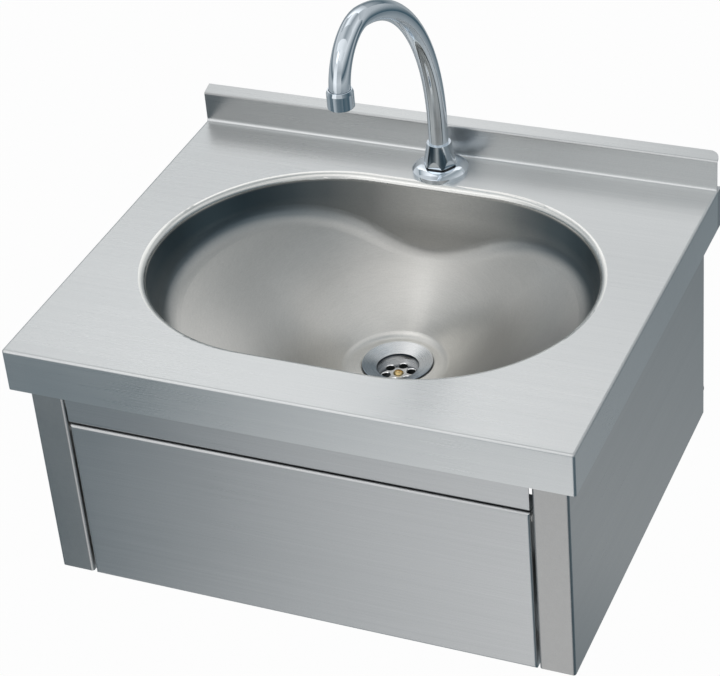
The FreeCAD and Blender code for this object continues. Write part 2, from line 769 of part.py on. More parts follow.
def make_rear_rail():
    """Channel against the wall: its web takes the fixings and its ends close the worktop's sides."""
    body = new_body("rear_rail")
    low = DECK - S["flange_height"]
    section = outline(new_sketch(body, "rear_rail_section", "YZ_Plane"), [
        (0, UNDER_DECK),
        (UPSTAND_FACE, UNDER_DECK),
        (UPSTAND_FACE, UNDER_DECK - SHEET),
        (-SHEET, UNDER_DECK - SHEET),
        (-SHEET, low + SHEET),
        (UPSTAND_FACE, low + SHEET),
        (UPSTAND_FACE, low),
        (0, low),
    ])
    pad(body, "rear_rail_sheet", section, 2 * (HALF_WIDTH - SHEET), both_ways=True)
    dress(body, "rear_rail_bends", "Fillet", S["bend_radius"],
          lambda e: flat_at(e, y=0, z=low) or flat_at(e, y=0, z=UNDER_DECK))
    tab_x = APRON_X - S["rear_flange_width"] - S["hole_clearance"]
    tab = rectangle(new_sketch(body, "weld_tab_plan", "XY_Plane", UNDER_DECK),
                    -tab_x, -S["rail_top_leg"], tab_x, UPSTAND_FACE + SHEET)
    pad(body, "weld_tab", tab, SHEET, backwards=True)
    for side, label in ((1, "right"), (-1, "left")):
        end = rectangle(new_sketch(body, f"{label}_end_plan", "YZ_Plane", (HALF_WIDTH - SHEET) * side),
                        UPSTAND_FACE, low, 0, UNDER_DECK)
        pad(body, f"{label}_end", end, SHEET, backwards=side < 0)
    fixings = new_sketch(body, "wall_fixings", "XZ_Plane", 0)
    for side in (1, -1):
        circle(fixings, S["fixing_spacing"] / 2 * side, 0, S["fixing_hole_radius"])
    pocket(body, "fixing_holes", fixings, 3 * SHEET, both_ways=True)
    return node(body)


def make_valve_crossbar():
    body = new_body("valve_crossbar")
    thick = S["crossbar_sheet"]
    half = S["crossbar_height"] / 2
    leg = CROSSBAR_Y + S["crossbar_leg"]
    section = outline(new_sketch(body, "crossbar_section", "YZ_Plane"), [
        (CROSSBAR_Y, VALVE_Z - half),
        (leg, VALVE_Z - half),
        (leg, VALVE_Z - half + thick),
        (CROSSBAR_REAR, VALVE_Z - half + thick),
        (CROSSBAR_REAR, VALVE_Z + half - thick),
        (leg, VALVE_Z + half - thick),
        (leg, VALVE_Z + half),
        (CROSSBAR_Y, VALVE_Z + half),
    ])
    pad(body, "crossbar_sheet", section, 2 * (APRON_X - SHEET), both_ways=True)
    dress(body, "crossbar_bends", "Fillet", S["bend_radius"],
          lambda e: flat_at(e, y=CROSSBAR_Y, z=VALVE_Z - half) or flat_at(e, y=CROSSBAR_Y, z=VALVE_Z + half))
    hole = circle(new_sketch(body, "valve_hole_plan", "XZ_Plane", CROSSBAR_Y), 0, VALVE_Z,
                  S["valve_neck_radius"] + S["hole_clearance"])
    pocket(body, "valve_hole", hole, 4 * thick, both_ways=True)
    return node(body)


def make_wall_buffers():
    """Rubber feet that keep the lower edge of the apron off the wall."""
    body = new_body("wall_buffer", (BUFFER_X, 0, BUFFER_Z))
    radius = S["buffer_radius"]
    stem = S["buffer_stem_radius"]
    barb = APRON_REAR - SHEET
    section = outline(new_sketch(body, "buffer_section", "YZ_Plane"), [
        (0, 0),
        (0, radius - SHEET),
        (-SHEET, radius),
        (APRON_REAR, radius),
        (APRON_REAR, stem),
        (barb, stem),
        (barb, stem * 1.5),
        (barb - stem, stem),
        (barb - stem, 0),
    ])
    revolve(body, "buffer", section, "H_Axis")
    return mirrored_pair("wall_buffers", body)


# Knee panel and its pivots

def make_knee_panel():
    """Folded tray hung on two pins; the lugs behind the stiles stop it at rest."""
    body = new_body("knee_panel")
    edge = S["panel_edge_radius"]
    rear = APRON_FRONT + S["panel_return"]
    plan = rectangle(new_sketch(body, "panel_plan", "XY_Plane", PANEL_BOTTOM), -PANEL_X, APRON_FRONT,
                     PANEL_X, rear)
    pad(body, "panel_block", plan, PANEL_TOP - PANEL_BOTTOM)
    dress(body, "panel_edges", "Fillet", edge,
          lambda e: flat_at(e, y=APRON_FRONT))
    hollow = rectangle(new_sketch(body, "panel_hollow", "XZ_Plane", rear), -PANEL_X + SHEET,
                       PANEL_BOTTOM + SHEET, PANEL_X - SHEET, PANEL_TOP - SHEET)
    pocket(body, "panel_inside", hollow, S["panel_return"] - SHEET, backwards=True)
    dress(body, "panel_inner_edges", "Fillet", edge - SHEET,
          lambda e: flat_at(e, y=APRON_FRONT + SHEET) and e.BoundBox.DiagonalLength > edge.value * 4)
    lug_front = APRON_FRONT + S["stile_return"] + S["stop_gap"]
    lug_low = PANEL_BOTTOM + S["stop_lug_up"]
    for side, label in ((1, "right"), (-1, "left")):
        lug = rectangle(new_sketch(body, f"{label}_lug_plan", "XY_Plane", lug_low),
                        (PANEL_X - SHEET) * side, lug_front,
                        (PANEL_X + S["stop_lug_width"]) * side, lug_front + SHEET)
        pad(body, f"{label}_stop_lug", lug, S["stop_lug_height"])
    pivots = circle(new_sketch(body, "panel_pivots", "YZ_Plane"), PIVOT_Y, PIVOT_Z, S["bush_radius"])
    pocket(body, "panel_pivot_holes", pivots, 2 * PANEL_X + 1, both_ways=True)
    return node(body)


def make_striker_pad():
    body = new_body("striker_pad")
    half = S["pad_side"] / 2
    face = rectangle(new_sketch(body, "pad_face", "XZ_Plane", STRIKER_Y), -half, VALVE_Z - half,
                     half, VALVE_Z + half)
    pad(body, "pad_block", face, S["pad_thickness"])
    dress(body, "pad_edges", "Chamfer", SHEET, lambda e: flat_at(e, y=STRIKER_Y))
    return node(body)


def make_pivot_pins():
    """Shoulder pins riveted in the stile returns, on one axis."""
    pin = new_body("pivot_pin", (0, PIVOT_Y, PIVOT_Z))
    head_face = STILE_X + SHEET
    inner_end = PANEL_X - SHEET - 2 * S["bush_flange_length"]
    section = outline(new_sketch(pin, "pin_section", "XZ_Plane"), [
        (inner_end, 0),
        (head_face + S["pin_head_length"], 0),
        (head_face + S["pin_head_length"], S["pin_head_radius"]),
        (head_face, S["pin_head_radius"]),
        (head_face, S["pin_radius"]),
        (inner_end, S["pin_radius"]),
    ])
    revolve(pin, "pin", section, "H_Axis")
    dress(pin, "pin_edges", "Chamfer", S["pin_head_length"] / 4,
          lambda e: round_at(e, S["pin_radius"], x=inner_end)
          or round_at(e, S["pin_head_radius"], x=head_face + S["pin_head_length"]))
    return mirrored_pair("pivot_pins", pin)


def make_pivot_bushes():
    bush = new_body("pivot_bush", (0, PIVOT_Y, PIVOT_Z))
    sheet_face = PANEL_X - SHEET
    bore = S["pin_radius"] + S["running_clearance"]
    outer_end = PANEL_X + S["panel_gap"] / 4
    section = outline(new_sketch(bush, "bush_section", "XZ_Plane"), [
        (sheet_face - S["bush_flange_length"], bore),
        (outer_end, bore),
        (outer_end, S["bush_radius"]),
        (sheet_face, S["bush_radius"]),
        (sheet_face, S["bush_flange_radius"]),
        (sheet_face - S["bush_flange_length"], S["bush_flange_radius"]),
    ])
    revolve(bush, "bush", section, "H_Axis")
    return mirrored_pair("pivot_bushes", bush)


# Knee valve

def make_valve_body():
    body = new_body("valve_body", (0, 0, VALVE_Z))
    neck, barrel, outlet = S["valve_neck_radius"], S["valve_body_radius"], S["outlet_radius"]
    section = outline(new_sketch(body, "valve_section", "YZ_Plane"), [
        (NECK_FRONT, 0),
        (NECK_FRONT, neck),
        (CROSSBAR_REAR, neck),
        (CROSSBAR_REAR, barrel),
        (VALVE_REAR, barrel),
        (VALVE_REAR, outlet),
        (OUTLET_END, outlet),
        (OUTLET_END, 0),
    ])
    revolve(body, "valve_barrel", section, "H_Axis")
    dress(body, "valve_edges", "Chamfer", SHEET,
          lambda e: round_at(e, barrel, y=VALVE_REAR) or round_at(e, barrel, y=CROSSBAR_REAR)
          or round_at(e, neck, y=NECK_FRONT))
    ports = circle(new_sketch(body, "port_plan", "YZ_Plane"), PORT_Y, 0, S["port_radius"])
    pad(body, "inlet_ports", ports, 2 * S["port_reach"], both_ways=True)
    passages = circle(new_sketch(body, "passage_plan", "YZ_Plane"), PORT_Y, 0, S["union_bore_radius"])
    pocket(body, "inlet_passages", passages, 2 * S["port_reach"], both_ways=True)
    stem_bore = S["stem_radius"] + S["running_clearance"]
    bore_end = NECK_FRONT + S["stem_bore_depth"]
    bore = outline(new_sketch(body, "valve_bore_section", "YZ_Plane"), [
        (NECK_FRONT, 0),
        (NECK_FRONT, stem_bore),
        (bore_end, stem_bore),
        (bore_end, S["waterway_radius"]),
        (OUTLET_END, S["waterway_radius"]),
        (OUTLET_END, 0),
    ])
    revolve(body, "valve_bore", bore, "H_Axis", cut=True)
    return node(body)


def make_valve_locknut():
    body = new_body("valve_locknut")
    plan = hexagon(new_sketch(body, "locknut_plan", "XZ_Plane", CROSSBAR_Y), S["locknut_flats"], 0, VALVE_Z)
    circle(plan, 0, VALVE_Z, S["valve_neck_radius"] + S["running_clearance"])
    pad(body, "locknut", plan, S["locknut_length"])
    return node(body)


def make_valve_plunger():
    """Stem with its push button; the crown faces the pad on the knee panel."""
    body = new_body("valve_plunger", (0, 0, VALVE_Z))
    button = S["button_radius"]
    crown = S["button_crown"]
    crown_radius = (button * button + crown * crown) / (2 * crown)
    section = outline(new_sketch(body, "plunger_section", "YZ_Plane"), [
        (BUTTON_FRONT, 0, crown_radius, -1),
        (BUTTON_FRONT + crown, button),
        (BUTTON_REAR, button),
        (BUTTON_REAR, S["stem_radius"]),
        (NECK_FRONT + S["stem_engagement"], S["stem_radius"]),
        (NECK_FRONT + S["stem_engagement"], 0),
    ])
    revolve(body, "plunger", section, "H_Axis")
    return node(body)


def biarc(start, start_way, end, end_way):
    """Two arcs from start to end that leave and arrive along the given directions."""
    chord = end - start
    both = start_way + end_way
    slack = 2 * (1 - start_way.dot(end_way))
    lean = chord.dot(both)
    reach = (-lean + math.sqrt(lean * lean + slack * chord.dot(chord))) / slack
    joint = (start + end + (start_way - end_way) * reach) / 2
    arcs = []
    for first, way, last, sense in ((start, start_way, joint, 1), (end, end_way * -1, joint, -1)):
        span = last - first
        side = way - span * (way.dot(span) / span.dot(span))
        half_turn = way.getAngle(span)
        crest = first + span / 2 + side.normalize() * (span.Length / 2 * math.tan(half_turn / 2))
        ends = (first, last) if sense > 0 else (last, first)
        arcs.append(Part.Arc(ends[0], crest, ends[1]).toShape())
    return arcs


def make_valve_spring():
    """Return spring between the valve neck and the button: one wire, wound round +Y."""
    wire_radius = S["spring_wire_radius"].value
    radius = S["spring_mean_radius"].value
    margin = wire_radius + S["spring_seat_gap"].value
    first = BUTTON_REAR.value + margin
    last = NECK_FRONT.value - margin
    quarters = int(S["spring_turns"].value * 4)
    rise = (last - first) / quarters
    slope = rise / (math.pi / 2)

    def point(step):
        angle = step * math.pi / 2
        return Vector(radius * math.cos(angle), first + rise * step, radius * math.sin(angle))

    def way(step):
        angle = step * math.pi / 2
        return Vector(-radius * math.sin(angle), slope, radius * math.cos(angle)).normalize()

    edges = []
    for step in range(quarters):
        edges += biarc(point(step), way(step), point(step + 1), way(step + 1))
    route = Part.Wire(edges)
    wire = Part.Wire(Part.makeCircle(wire_radius, point(0), way(0)))
    feature = doc.addObject("Part::Feature", "valve_spring")
    feature.Shape = route.makePipeShell([wire], True, False)
    feature.Label = "valve_spring"
    place(feature, (0, 0, VALVE_Z))
    expected = math.pi * wire_radius ** 2 * route.Length
    print(f"valve_spring: volume {feature.Shape.Volume:.1f}, section times length {expected:.1f}, "
          f"least gap between turns {4 * rise - 2 * wire_radius:.2f} mm")
    return node(feature)


def make_inlet_unions():
    """Hot and cold elbow unions, screwed into the valve's side ports, with their tails turned down."""
    union = new_body("inlet_union", (S["port_reach"], PORT_Y, VALVE_Z))
    union.Placement = Placement(union.Placement.Base, Rotation(Vector(0, 1, 0), 90))
    flats = hexagon(new_sketch(union, "union_plan", "XY_Plane"), S["union_flats"])
    pad(union, "union_hexagon", flats, S["union_hex_length"])
    tail_station = S["union_hex_length"] + S["union_reach"]
    body_end = tail_station + S["union_body_radius"]
    barrel = circle(new_sketch(union, "union_body_plan", "XY_Plane"), 0, 0, S["union_body_radius"])
    pad(union, "union_body", barrel, body_end)
    dress(union, "union_body_edge", "Fillet", S["union_edge_radius"],
          lambda e: round_at(e, S["union_body_radius"], z=body_end))
    neck_end = S["union_body_radius"] + S["union_neck_length"]
    neck = circle(new_sketch(union, "union_neck_plan", "YZ_Plane"), 0, tail_station, S["union_neck_radius"])
    pad(union, "union_neck", neck, neck_end)
    thread = circle(new_sketch(union, "union_thread_plan", "YZ_Plane", neck_end), 0, tail_station,
                    S["union_thread_radius"])
    pad(union, "union_thread", thread, S["union_thread_length"])
    bore = circle(new_sketch(union, "union_bore_plan", "XY_Plane"), 0, 0, S["union_bore_radius"])
    pocket(union, "union_bore", bore, tail_station, backwards=True)
    tail_bore = circle(new_sketch(union, "tail_bore_plan", "YZ_Plane"), 0, tail_station, S["union_bore_radius"])
    pocket(union, "union_tail_bore", tail_bore, neck_end + S["union_thread_length"], backwards=True)
    return mirrored_pair("inlet_unions", union)


def make_feed_nut(name, base, rotation):
    """Compression nut: a wide bore over the threaded end and a close one round the pipe."""
    nut = new_body(name, base)
    nut.Placement = Placement(nut.Placement.Base, rotation)
    throat = S["feed_nut_length"] - S["feed_nut_grip"]
    plan = hexagon(new_sketch(nut, f"{name}_plan", "XY_Plane"), S["feed_nut_flats"])
    pad(nut, f"{name}_hexagon", plan, S["feed_nut_length"])
    small = circle(new_sketch(nut, f"{name}_throat_plan", "XY_Plane"), 0, 0,
                   S["feed_radius"] + S["running_clearance"])
    pocket(nut, f"{name}_throat", small, S["feed_nut_length"], backwards=True)
    wide = circle(new_sketch(nut, f"{name}_socket_plan", "XY_Plane", throat), 0, 0,
                  S["shank_radius"] + S["running_clearance"])
    pocket(nut, f"{name}_socket", wide, S["feed_nut_grip"], backwards=True)
    return nut


def make_feed_nuts():
    throat = S["feed_nut_length"] - S["feed_nut_grip"]
    at_tap = make_feed_nut("tap_feed_nut", (0, TAP_Y, SHANK_END - throat), Rotation())
    at_valve = make_feed_nut("valve_feed_nut", (0, OUTLET_END + throat, VALVE_Z),
                             Rotation(Vector(1, 0, 0), 90))
    pair = doc.addObject("Part::Compound", "feed_nuts")
    pair.Links = [at_tap, at_valve]
    pair.Label = "feed_nuts"
    return node(pair)


def rounded_route(points, radius):
    """Straight runs joined by tangent arcs of one radius, as a wire."""
    edges = []
    here = points[0]
    for before, corner, after in zip(points, points[1:], points[2:]):
        back = (before - corner).normalize()
        onward = (after - corner).normalize()
        half_turn = (math.pi - back.getAngle(onward)) / 2
        trim = radius * math.tan(half_turn)
        arc_start = corner + back * trim
        arc_end = corner + onward * trim
        inward = (back + onward).normalize()
        crest = corner + inward * (radius / math.cos(half_turn) - radius)
        edges.append(Part.LineSegment(here, arc_start).toShape())
        edges.append(Part.Arc(arc_start, crest, arc_end).toShape())
        here = arc_end
    edges.append(Part.LineSegment(here, points[-1]).toShape())
    return Part.Wire(edges)


def make_feed_pipe():
    """Bent pipe from the valve outlet, round the waste and up to the tap's shank."""
    level = VALVE_Z.value
    detour = S["feed_detour"].value
    lead = OUTLET_END.value + S["feed_lead"].value
    tap = TAP_Y.value
    corner = S["feed_bend_radius"].value * 2
    points = [
        Vector(0, OUTLET_END.value, level),
        Vector(0, lead, level),
        Vector(detour, lead + corner, level),
        Vector(detour, tap - corner, level),
        Vector(0, tap, level),
        Vector(0, tap, SHANK_END.value),
    ]
    route = rounded_route(points, S["feed_bend_radius"].value)
    outer, inner = S["feed_radius"].value, (S["feed_radius"] - S["feed_wall"]).value
    shells = []
    for radius in (outer, inner):
        ring = Part.Wire(Part.makeCircle(radius, points[0], Vector(0, 1, 0)))
        shells.append(route.makePipeShell([ring], True, False))
    feature = doc.addObject("Part::Feature", "feed_pipe")
    feature.Shape = shells[0].cut(shells[1])
    feature.Label = "feed_pipe"
    expected = math.pi * (outer ** 2 - inner ** 2) * route.Length
    print(f"feed_pipe: volume {feature.Shape.Volume:.0f}, section times length {expected:.0f}, "
          f"bend radius {S['feed_bend_radius'].value:.0f} mm")
    return node(feature)


# Waste, built about the drain axis from the level of the bowl's drain land

def dish_height(radius):
    """Height of the bowl's dished seat at a radius, from the drain land."""
    return (radius - S["drain_dish_radius"]) * FLANGE_SLOPE


def make_waste_flange():
    body = new_body("waste_flange", WASTE_ORIGIN)
    rim, opening, thick = S["waste_flange_radius"], S["waste_opening_radius"], S["waste_sheet"]
    cup = opening + thick
    lift = S["flange_seal_thickness"]
    section = outline(new_sketch(body, "flange_section", "XZ_Plane"), [
        (0, STRAINER_TOP),
        (opening, STRAINER_TOP),
        (opening, FLANGE_LIP),
        (rim, dish_height(rim) + lift + thick),
        (rim, dish_height(rim) + lift),
        (cup, dish_height(cup) + lift),
        (cup, FLANGE_LIP - S["waste_cup_depth"]),
        (opening, FLANGE_LIP - S["waste_cup_depth"]),
        (opening, STRAINER_TOP - thick),
        (0, STRAINER_TOP - thick),
    ])
    revolve(body, "flange", section)
    dress(body, "flange_edges", "Fillet", thick / 2,
          lambda e: round_at(e, opening, z=FLANGE_LIP) or round_at(e, rim, z=dish_height(rim) + lift + thick))
    holes = new_sketch(body, "strainer_plan", "XY_Plane", STRAINER_TOP)
    circle(holes, 0, 0, S["waste_screw_radius"] + S["running_clearance"])
    for step in range(6):
        angle = math.radians(60 * step + 30)
        circle(holes, S["strainer_circle_radius"] * math.cos(angle),
               S["strainer_circle_radius"] * math.sin(angle), S["strainer_hole_radius"])
    pocket(body, "strainer_holes", holes, 2 * thick)
    dress(body, "strainer_bevels", "Chamfer", S["strainer_hole_bevel"],
          lambda e: round_at(e, S["strainer_hole_radius"], z=STRAINER_TOP))
    return node(body)


def seal_ring(name, inner, outer, level, thickness):
    """Rubber ring that follows the dished seat, its lower face moved down by a level."""
    body = new_body(name, WASTE_ORIGIN)
    section = outline(new_sketch(body, f"{name}_section", "XZ_Plane"), [
        (inner, dish_height(inner) + level),
        (outer, dish_height(outer) + level),
        (outer, dish_height(outer) + level + thickness),
        (inner, dish_height(inner) + level + thickness),
    ])
    revolve(body, f"{name}_ring", section)
    return node(body)


def make_waste_seals():
    inner = S["drain_hole_radius"]
    outer = S["waste_flange_radius"] - S["flange_seal_thickness"]
    seal_ring("waste_flange_seal", inner, outer, as_size(0), S["flange_seal_thickness"])
    seal_ring("waste_body_seal", inner, S["waste_body_radius"], -S["bowl_sheet"] - S["body_seal_thickness"],
              S["body_seal_thickness"])


def make_waste_body():
    """Threaded lower half of the waste, with a cross that takes the clamping screw."""
    body = new_body("waste_body", WASTE_ORIGIN)
    rim = S["waste_body_radius"]
    thread = S["waste_thread_radius"]
    mouth = S["waste_opening_radius"] + S["waste_sheet"] + S["hole_clearance"]
    below = S["bowl_sheet"] + S["body_seal_thickness"]
    thread_top = dish_height(rim) - below - S["waste_body_rim"] - S["waste_body_funnel"]
    thread_end = thread_top - S["waste_thread_length"]
    throat = thread - S["waste_wall"]
    section = outline(new_sketch(body, "waste_body_section", "XZ_Plane"), [
        (mouth, dish_height(mouth) - below),
        (rim, dish_height(rim) - below),
        (rim, dish_height(rim) - below - S["waste_body_rim"]),
        (thread, thread_top),
        (thread, thread_end),
        (throat, thread_end),
        (throat, thread_top),
        (mouth, FLANGE_LIP - S["waste_cup_depth"] - S["waste_wall"]),
    ])
    revolve(body, "waste_shell", section)
    arm = S["spider_arm"] / 2
    reach = mouth + S["waste_wall"] / 3
    spider_top = FLANGE_LIP - S["waste_cup_depth"] - S["waste_wall"]
    for label, half_x, half_y in (("cross", reach, arm), ("bridge", arm, reach)):
        bar = rectangle(new_sketch(body, f"{label}_plan", "XY_Plane", spider_top), -half_x, -half_y,
                        half_x, half_y)
        pad(body, label, bar, S["spider_height"], backwards=True)
    hub = circle(new_sketch(body, "hub_plan", "XY_Plane", spider_top), 0, 0, S["spider_hub_radius"])
    pad(body, "hub", hub, S["spider_height"], backwards=True)
    screw_hole = circle(new_sketch(body, "screw_hole_plan", "XY_Plane", spider_top), 0, 0,
                        S["waste_screw_radius"] + S["running_clearance"])
    pocket(body, "screw_hole", screw_hole, S["spider_height"])
    return node(body)


def make_waste_screw():
    body = new_body("waste_screw", WASTE_ORIGIN)
    head, height = S["waste_screw_head_radius"], S["waste_screw_head_height"]
    crown = (head * head + height * height) / (2 * height)
    end = STRAINER_TOP - S["waste_screw_length"]
    section = outline(new_sketch(body, "screw_section", "XZ_Plane"), [
        (0, end),
        (S["waste_screw_radius"], end),
        (S["waste_screw_radius"], STRAINER_TOP),
        (head, STRAINER_TOP, crown, 1),
        (0, STRAINER_TOP + height),
    ])
    revolve(body, "screw", section)
    half = S["waste_slot_width"] / 2
    slot = rectangle(new_sketch(body, "slot_plan", "XY_Plane", STRAINER_TOP + height), -head, -half, head, half)
    pocket(body, "screw_slot", slot, height / 2)
    return node(body)


# Tap, built about its own axis from the top of the worktop

def make_tap_base():
    body = new_body("tap_base", TAP_ORIGIN)
    flange, dome, collar = S["tap_flange_radius"], S["tap_dome_radius"], S["collar_radius"]
    socket = S["spout_radius"] + S["running_clearance"]
    section = outline(new_sketch(body, "tap_base_section", "XZ_Plane"), [
        (S["waterway_radius"], -S["shank_length"]),
        (S["shank_radius"], -S["shank_length"]),
        (S["shank_radius"], 0),
        (flange, 0),
        (flange, S["tap_flange_edge"], dome, 1),
        (dome, S["tap_base_height"]),
        (collar, S["tap_base_height"]),
        (collar, S["collar_height"]),
        (socket, S["collar_height"]),
        (socket, S["tap_socket_floor"]),
        (S["waterway_radius"], S["tap_socket_floor"]),
    ])
    revolve(body, "tap_base_turning", section)
    return node(body)


def ring(name, origin, inner, outer, low, height):
    """Plain ring about a vertical axis: a washer or a seal."""
    body = new_body(name, origin)
    plan = new_sketch(body, f"{name}_plan", "XY_Plane", low)
    circle(plan, 0, 0, outer)
    circle(plan, 0, 0, inner)
    pad(body, f"{name}_ring", plan, height)
    return node(body)


def make_tap_fixings():
    """What clamps the tap to the worktop: a rubber and a metal washer and a backnut below it."""
    bore = S["shank_radius"] + S["running_clearance"]
    seal_low = -SHEET - S["deck_seal_thickness"]
    washer_low = seal_low - S["tap_washer_thickness"]
    ring("tap_deck_seal", TAP_ORIGIN, bore, S["tap_washer_radius"], seal_low, S["deck_seal_thickness"])
    ring("tap_clamp_washer", TAP_ORIGIN, bore, S["tap_washer_radius"], washer_low, S["tap_washer_thickness"])
    nut = new_body("tap_backnut", TAP_ORIGIN)
    plan = hexagon(new_sketch(nut, "backnut_plan", "XY_Plane", washer_low), S["backnut_flats"])
    circle(plan, 0, 0, bore)
    pad(nut, "backnut", plan, S["backnut_length"], backwards=True)
    node(nut)
    ring("tap_ring_seal", TAP_ORIGIN, S["collar_radius"] + S["running_clearance"], S["ring_seal_radius"],
         S["tap_base_height"], S["ring_seal_thickness"])


def make_swivel_nut():
    """Tapered nut that holds the spout; six flats cut its wide lower end in arches."""
    body = new_body("swivel_nut", TAP_ORIGIN)
    low = S["tap_base_height"] + S["ring_seal_thickness"]
    top = low + S["nut_height"]
    cone = outline(new_sketch(body, "nut_section", "XZ_Plane"), [
        (0, low),
        (S["nut_bottom_radius"], low),
        (S["nut_top_radius"], top),
        (0, top),
    ])
    revolve(body, "nut_cone", cone)
    flats = hexagon(new_sketch(body, "nut_flats_plan", "XY_Plane", low), S["nut_flats"])
    circle(flats, 0, 0, 2 * S["nut_bottom_radius"])
    pocket(body, "nut_flats", flats, S["nut_height"], backwards=True)
    step = S["collar_height"] + S["hole_clearance"]
    collar = S["collar_radius"] + S["running_clearance"]
    tube = S["spout_radius"] + S["running_clearance"]
    bore = outline(new_sketch(body, "nut_bore_section", "XZ_Plane"), [
        (0, low),
        (collar, low),
        (collar, step),
        (tube, step),
        (tube, top),
        (0, top),
    ])
    revolve(body, "nut_bore", bore, cut=True)
    return node(body)


def make_spout_tube():
    """Swan-neck tube: a long bend forward, a tight bend over, and a short drop to the aerator."""
    body = new_body("spout_tube", TAP_ORIGIN)
    foot = S["tap_socket_floor"] + S["running_clearance"]
    ends = new_sketch(body, "spout_profile", "XY_Plane", foot)
    circle(ends, 0, 0, S["spout_radius"])
    circle(ends, 0, 0, S["spout_radius"] - S["spout_wall"])
    path = outline(new_sketch(body, "spout_path", "YZ_Plane"), [
        (0, foot),
        (0, S["spout_riser"], S["spout_long_bend_radius"], 1),
        (SPOUT_TURN_Y, SPOUT_TURN_Z, S["spout_tight_bend_radius"], 1),
        (-SPOUT_REACH, SPOUT_DROP_Z),
        (-SPOUT_REACH, SPOUT_END_Z),
    ], closed=False)
    sweep(body, "swan_neck", ends, path, 4)
    return node(body)


def make_aerator_housing():
    body = new_body("aerator_housing", AERATOR_ORIGIN)
    bottom = -S["aerator_height"]
    outer, neck = S["aerator_radius"], S["aerator_neck_radius"]
    edge = S["aerator_recess"]
    tube_bore = S["spout_radius"] + S["hole_clearance"]
    section = outline(new_sketch(body, "housing_section", "XZ_Plane"), [
        (tube_bore, 0),
        (neck, 0),
        (outer, -S["aerator_shoulder"]),
        (outer, bottom + edge),
        (outer - edge, bottom),
        (S["aerator_bore_radius"], bottom),
        (S["aerator_bore_radius"], -S["aerator_grip"]),
        (tube_bore, -S["aerator_grip"]),
    ])
    revolve(body, "housing", section)
    return node(body)


def make_aerator_insert():
    body = new_body("aerator_insert", AERATOR_ORIGIN)
    low = -S["aerator_height"] + S["aerator_recess"]
    disc = circle(new_sketch(body, "insert_plan", "XY_Plane", low), 0, 0, S["aerator_bore_radius"])
    pad(body, "insert_disc", disc, S["insert_thickness"])
    holes = new_sketch(body, "insert_holes_plan", "XY_Plane", low)
    circle(holes, 0, 0, S["insert_hole_radius"])
    for step in range(6):
        angle = math.radians(60 * step)
        circle(holes, S["insert_circle_radius"] * math.cos(angle),
               S["insert_circle_radius"] * math.sin(angle), S["insert_hole_radius"])
    pocket(body, "insert_holes", holes, S["insert_thickness"], backwards=True)
    return node(body)


def check_document():
    """A failed feature doesn't raise, so every object is looked at."""
    for item in doc.Objects:
        if "Invalid" in item.State or "Error" in item.State:
            raise RuntimeError(f"{item.Name} failed: {item.State}")


def write_parts():
    os.makedirs("parts", exist_ok=True)
    for item in NODES:
        shape = item.Shape
        if shape.isNull() or not shape.isValid() or shape.Volume <= 0:
            raise RuntimeError(f"{item.Label} has no valid shape")
    for item in NODES:
        item.Shape.exportStep(f"parts/{item.Label}.step")
    print(f"{len(NODES)} nodes written")


def main():
    make_worktop()
    make_basin_bowl()
    make_side_panel("side_panel_right", 1)
    make_side_panel("side_panel_left", -1)
    make_front_rail()
    make_rear_rail()
    make_valve_crossbar()
    make_wall_buffers()
    make_knee_panel()
    make_striker_pad()
    make_pivot_pins()
    make_pivot_bushes()
    make_valve_body()
    make_valve_locknut()
    make_valve_plunger()
    make_valve_spring()
    make_inlet_unions()
    make_feed_pipe()
    make_feed_nuts()
    make_waste_flange()
    make_waste_seals()
    make_waste_body()
    make_waste_screw()
    make_tap_base()
    make_tap_fixings()
    make_swivel_nut()
    make_spout_tube()
    make_aerator_housing()
    make_aerator_insert()
    doc.recompute()
    check_document()
    write_parts()


main()
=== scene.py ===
import json
import math

import bpy
from mathutils import Euler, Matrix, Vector


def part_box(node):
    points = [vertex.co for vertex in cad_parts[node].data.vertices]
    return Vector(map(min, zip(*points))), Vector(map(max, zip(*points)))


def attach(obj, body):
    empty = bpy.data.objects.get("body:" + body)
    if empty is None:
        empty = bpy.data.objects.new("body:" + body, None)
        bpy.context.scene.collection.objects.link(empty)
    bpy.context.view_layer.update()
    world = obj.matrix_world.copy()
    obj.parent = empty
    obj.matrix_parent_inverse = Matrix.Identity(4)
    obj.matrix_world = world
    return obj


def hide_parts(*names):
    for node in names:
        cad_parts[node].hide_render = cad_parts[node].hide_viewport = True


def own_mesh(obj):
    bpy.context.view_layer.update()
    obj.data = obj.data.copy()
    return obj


# Wall-hung stainless steel hand wash basin with a knee panel: finishes, light and camera.
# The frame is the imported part's: metres, +X right, +Y to the wall, +Z up.

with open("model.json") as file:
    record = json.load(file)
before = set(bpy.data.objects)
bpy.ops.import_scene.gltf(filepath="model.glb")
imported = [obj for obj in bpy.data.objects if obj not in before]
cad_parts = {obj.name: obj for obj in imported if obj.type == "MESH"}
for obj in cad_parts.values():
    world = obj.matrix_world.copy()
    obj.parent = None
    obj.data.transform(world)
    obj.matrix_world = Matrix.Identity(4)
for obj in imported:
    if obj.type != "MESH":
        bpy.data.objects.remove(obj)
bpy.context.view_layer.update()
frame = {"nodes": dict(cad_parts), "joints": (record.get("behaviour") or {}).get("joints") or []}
NODES = frame["nodes"]

# Where each axis stands in a point
X, Y, Z = range(3)

# Places taken from the frame
TOP_LOW, TOP_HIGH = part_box("worktop")
BOWL_LOW, BOWL_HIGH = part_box("basin_bowl")
DECK_Z = BOWL_HIGH.z
FLANGE_LOW, FLANGE_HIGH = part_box("waste_flange")
DRAIN_X = (FLANGE_LOW.x + FLANGE_HIGH.x) / 2
DRAIN_Y = (FLANGE_LOW.y + FLANGE_HIGH.y) / 2
STRAINER_RADIUS = (FLANGE_HIGH.x - FLANGE_LOW.x) * 0.3

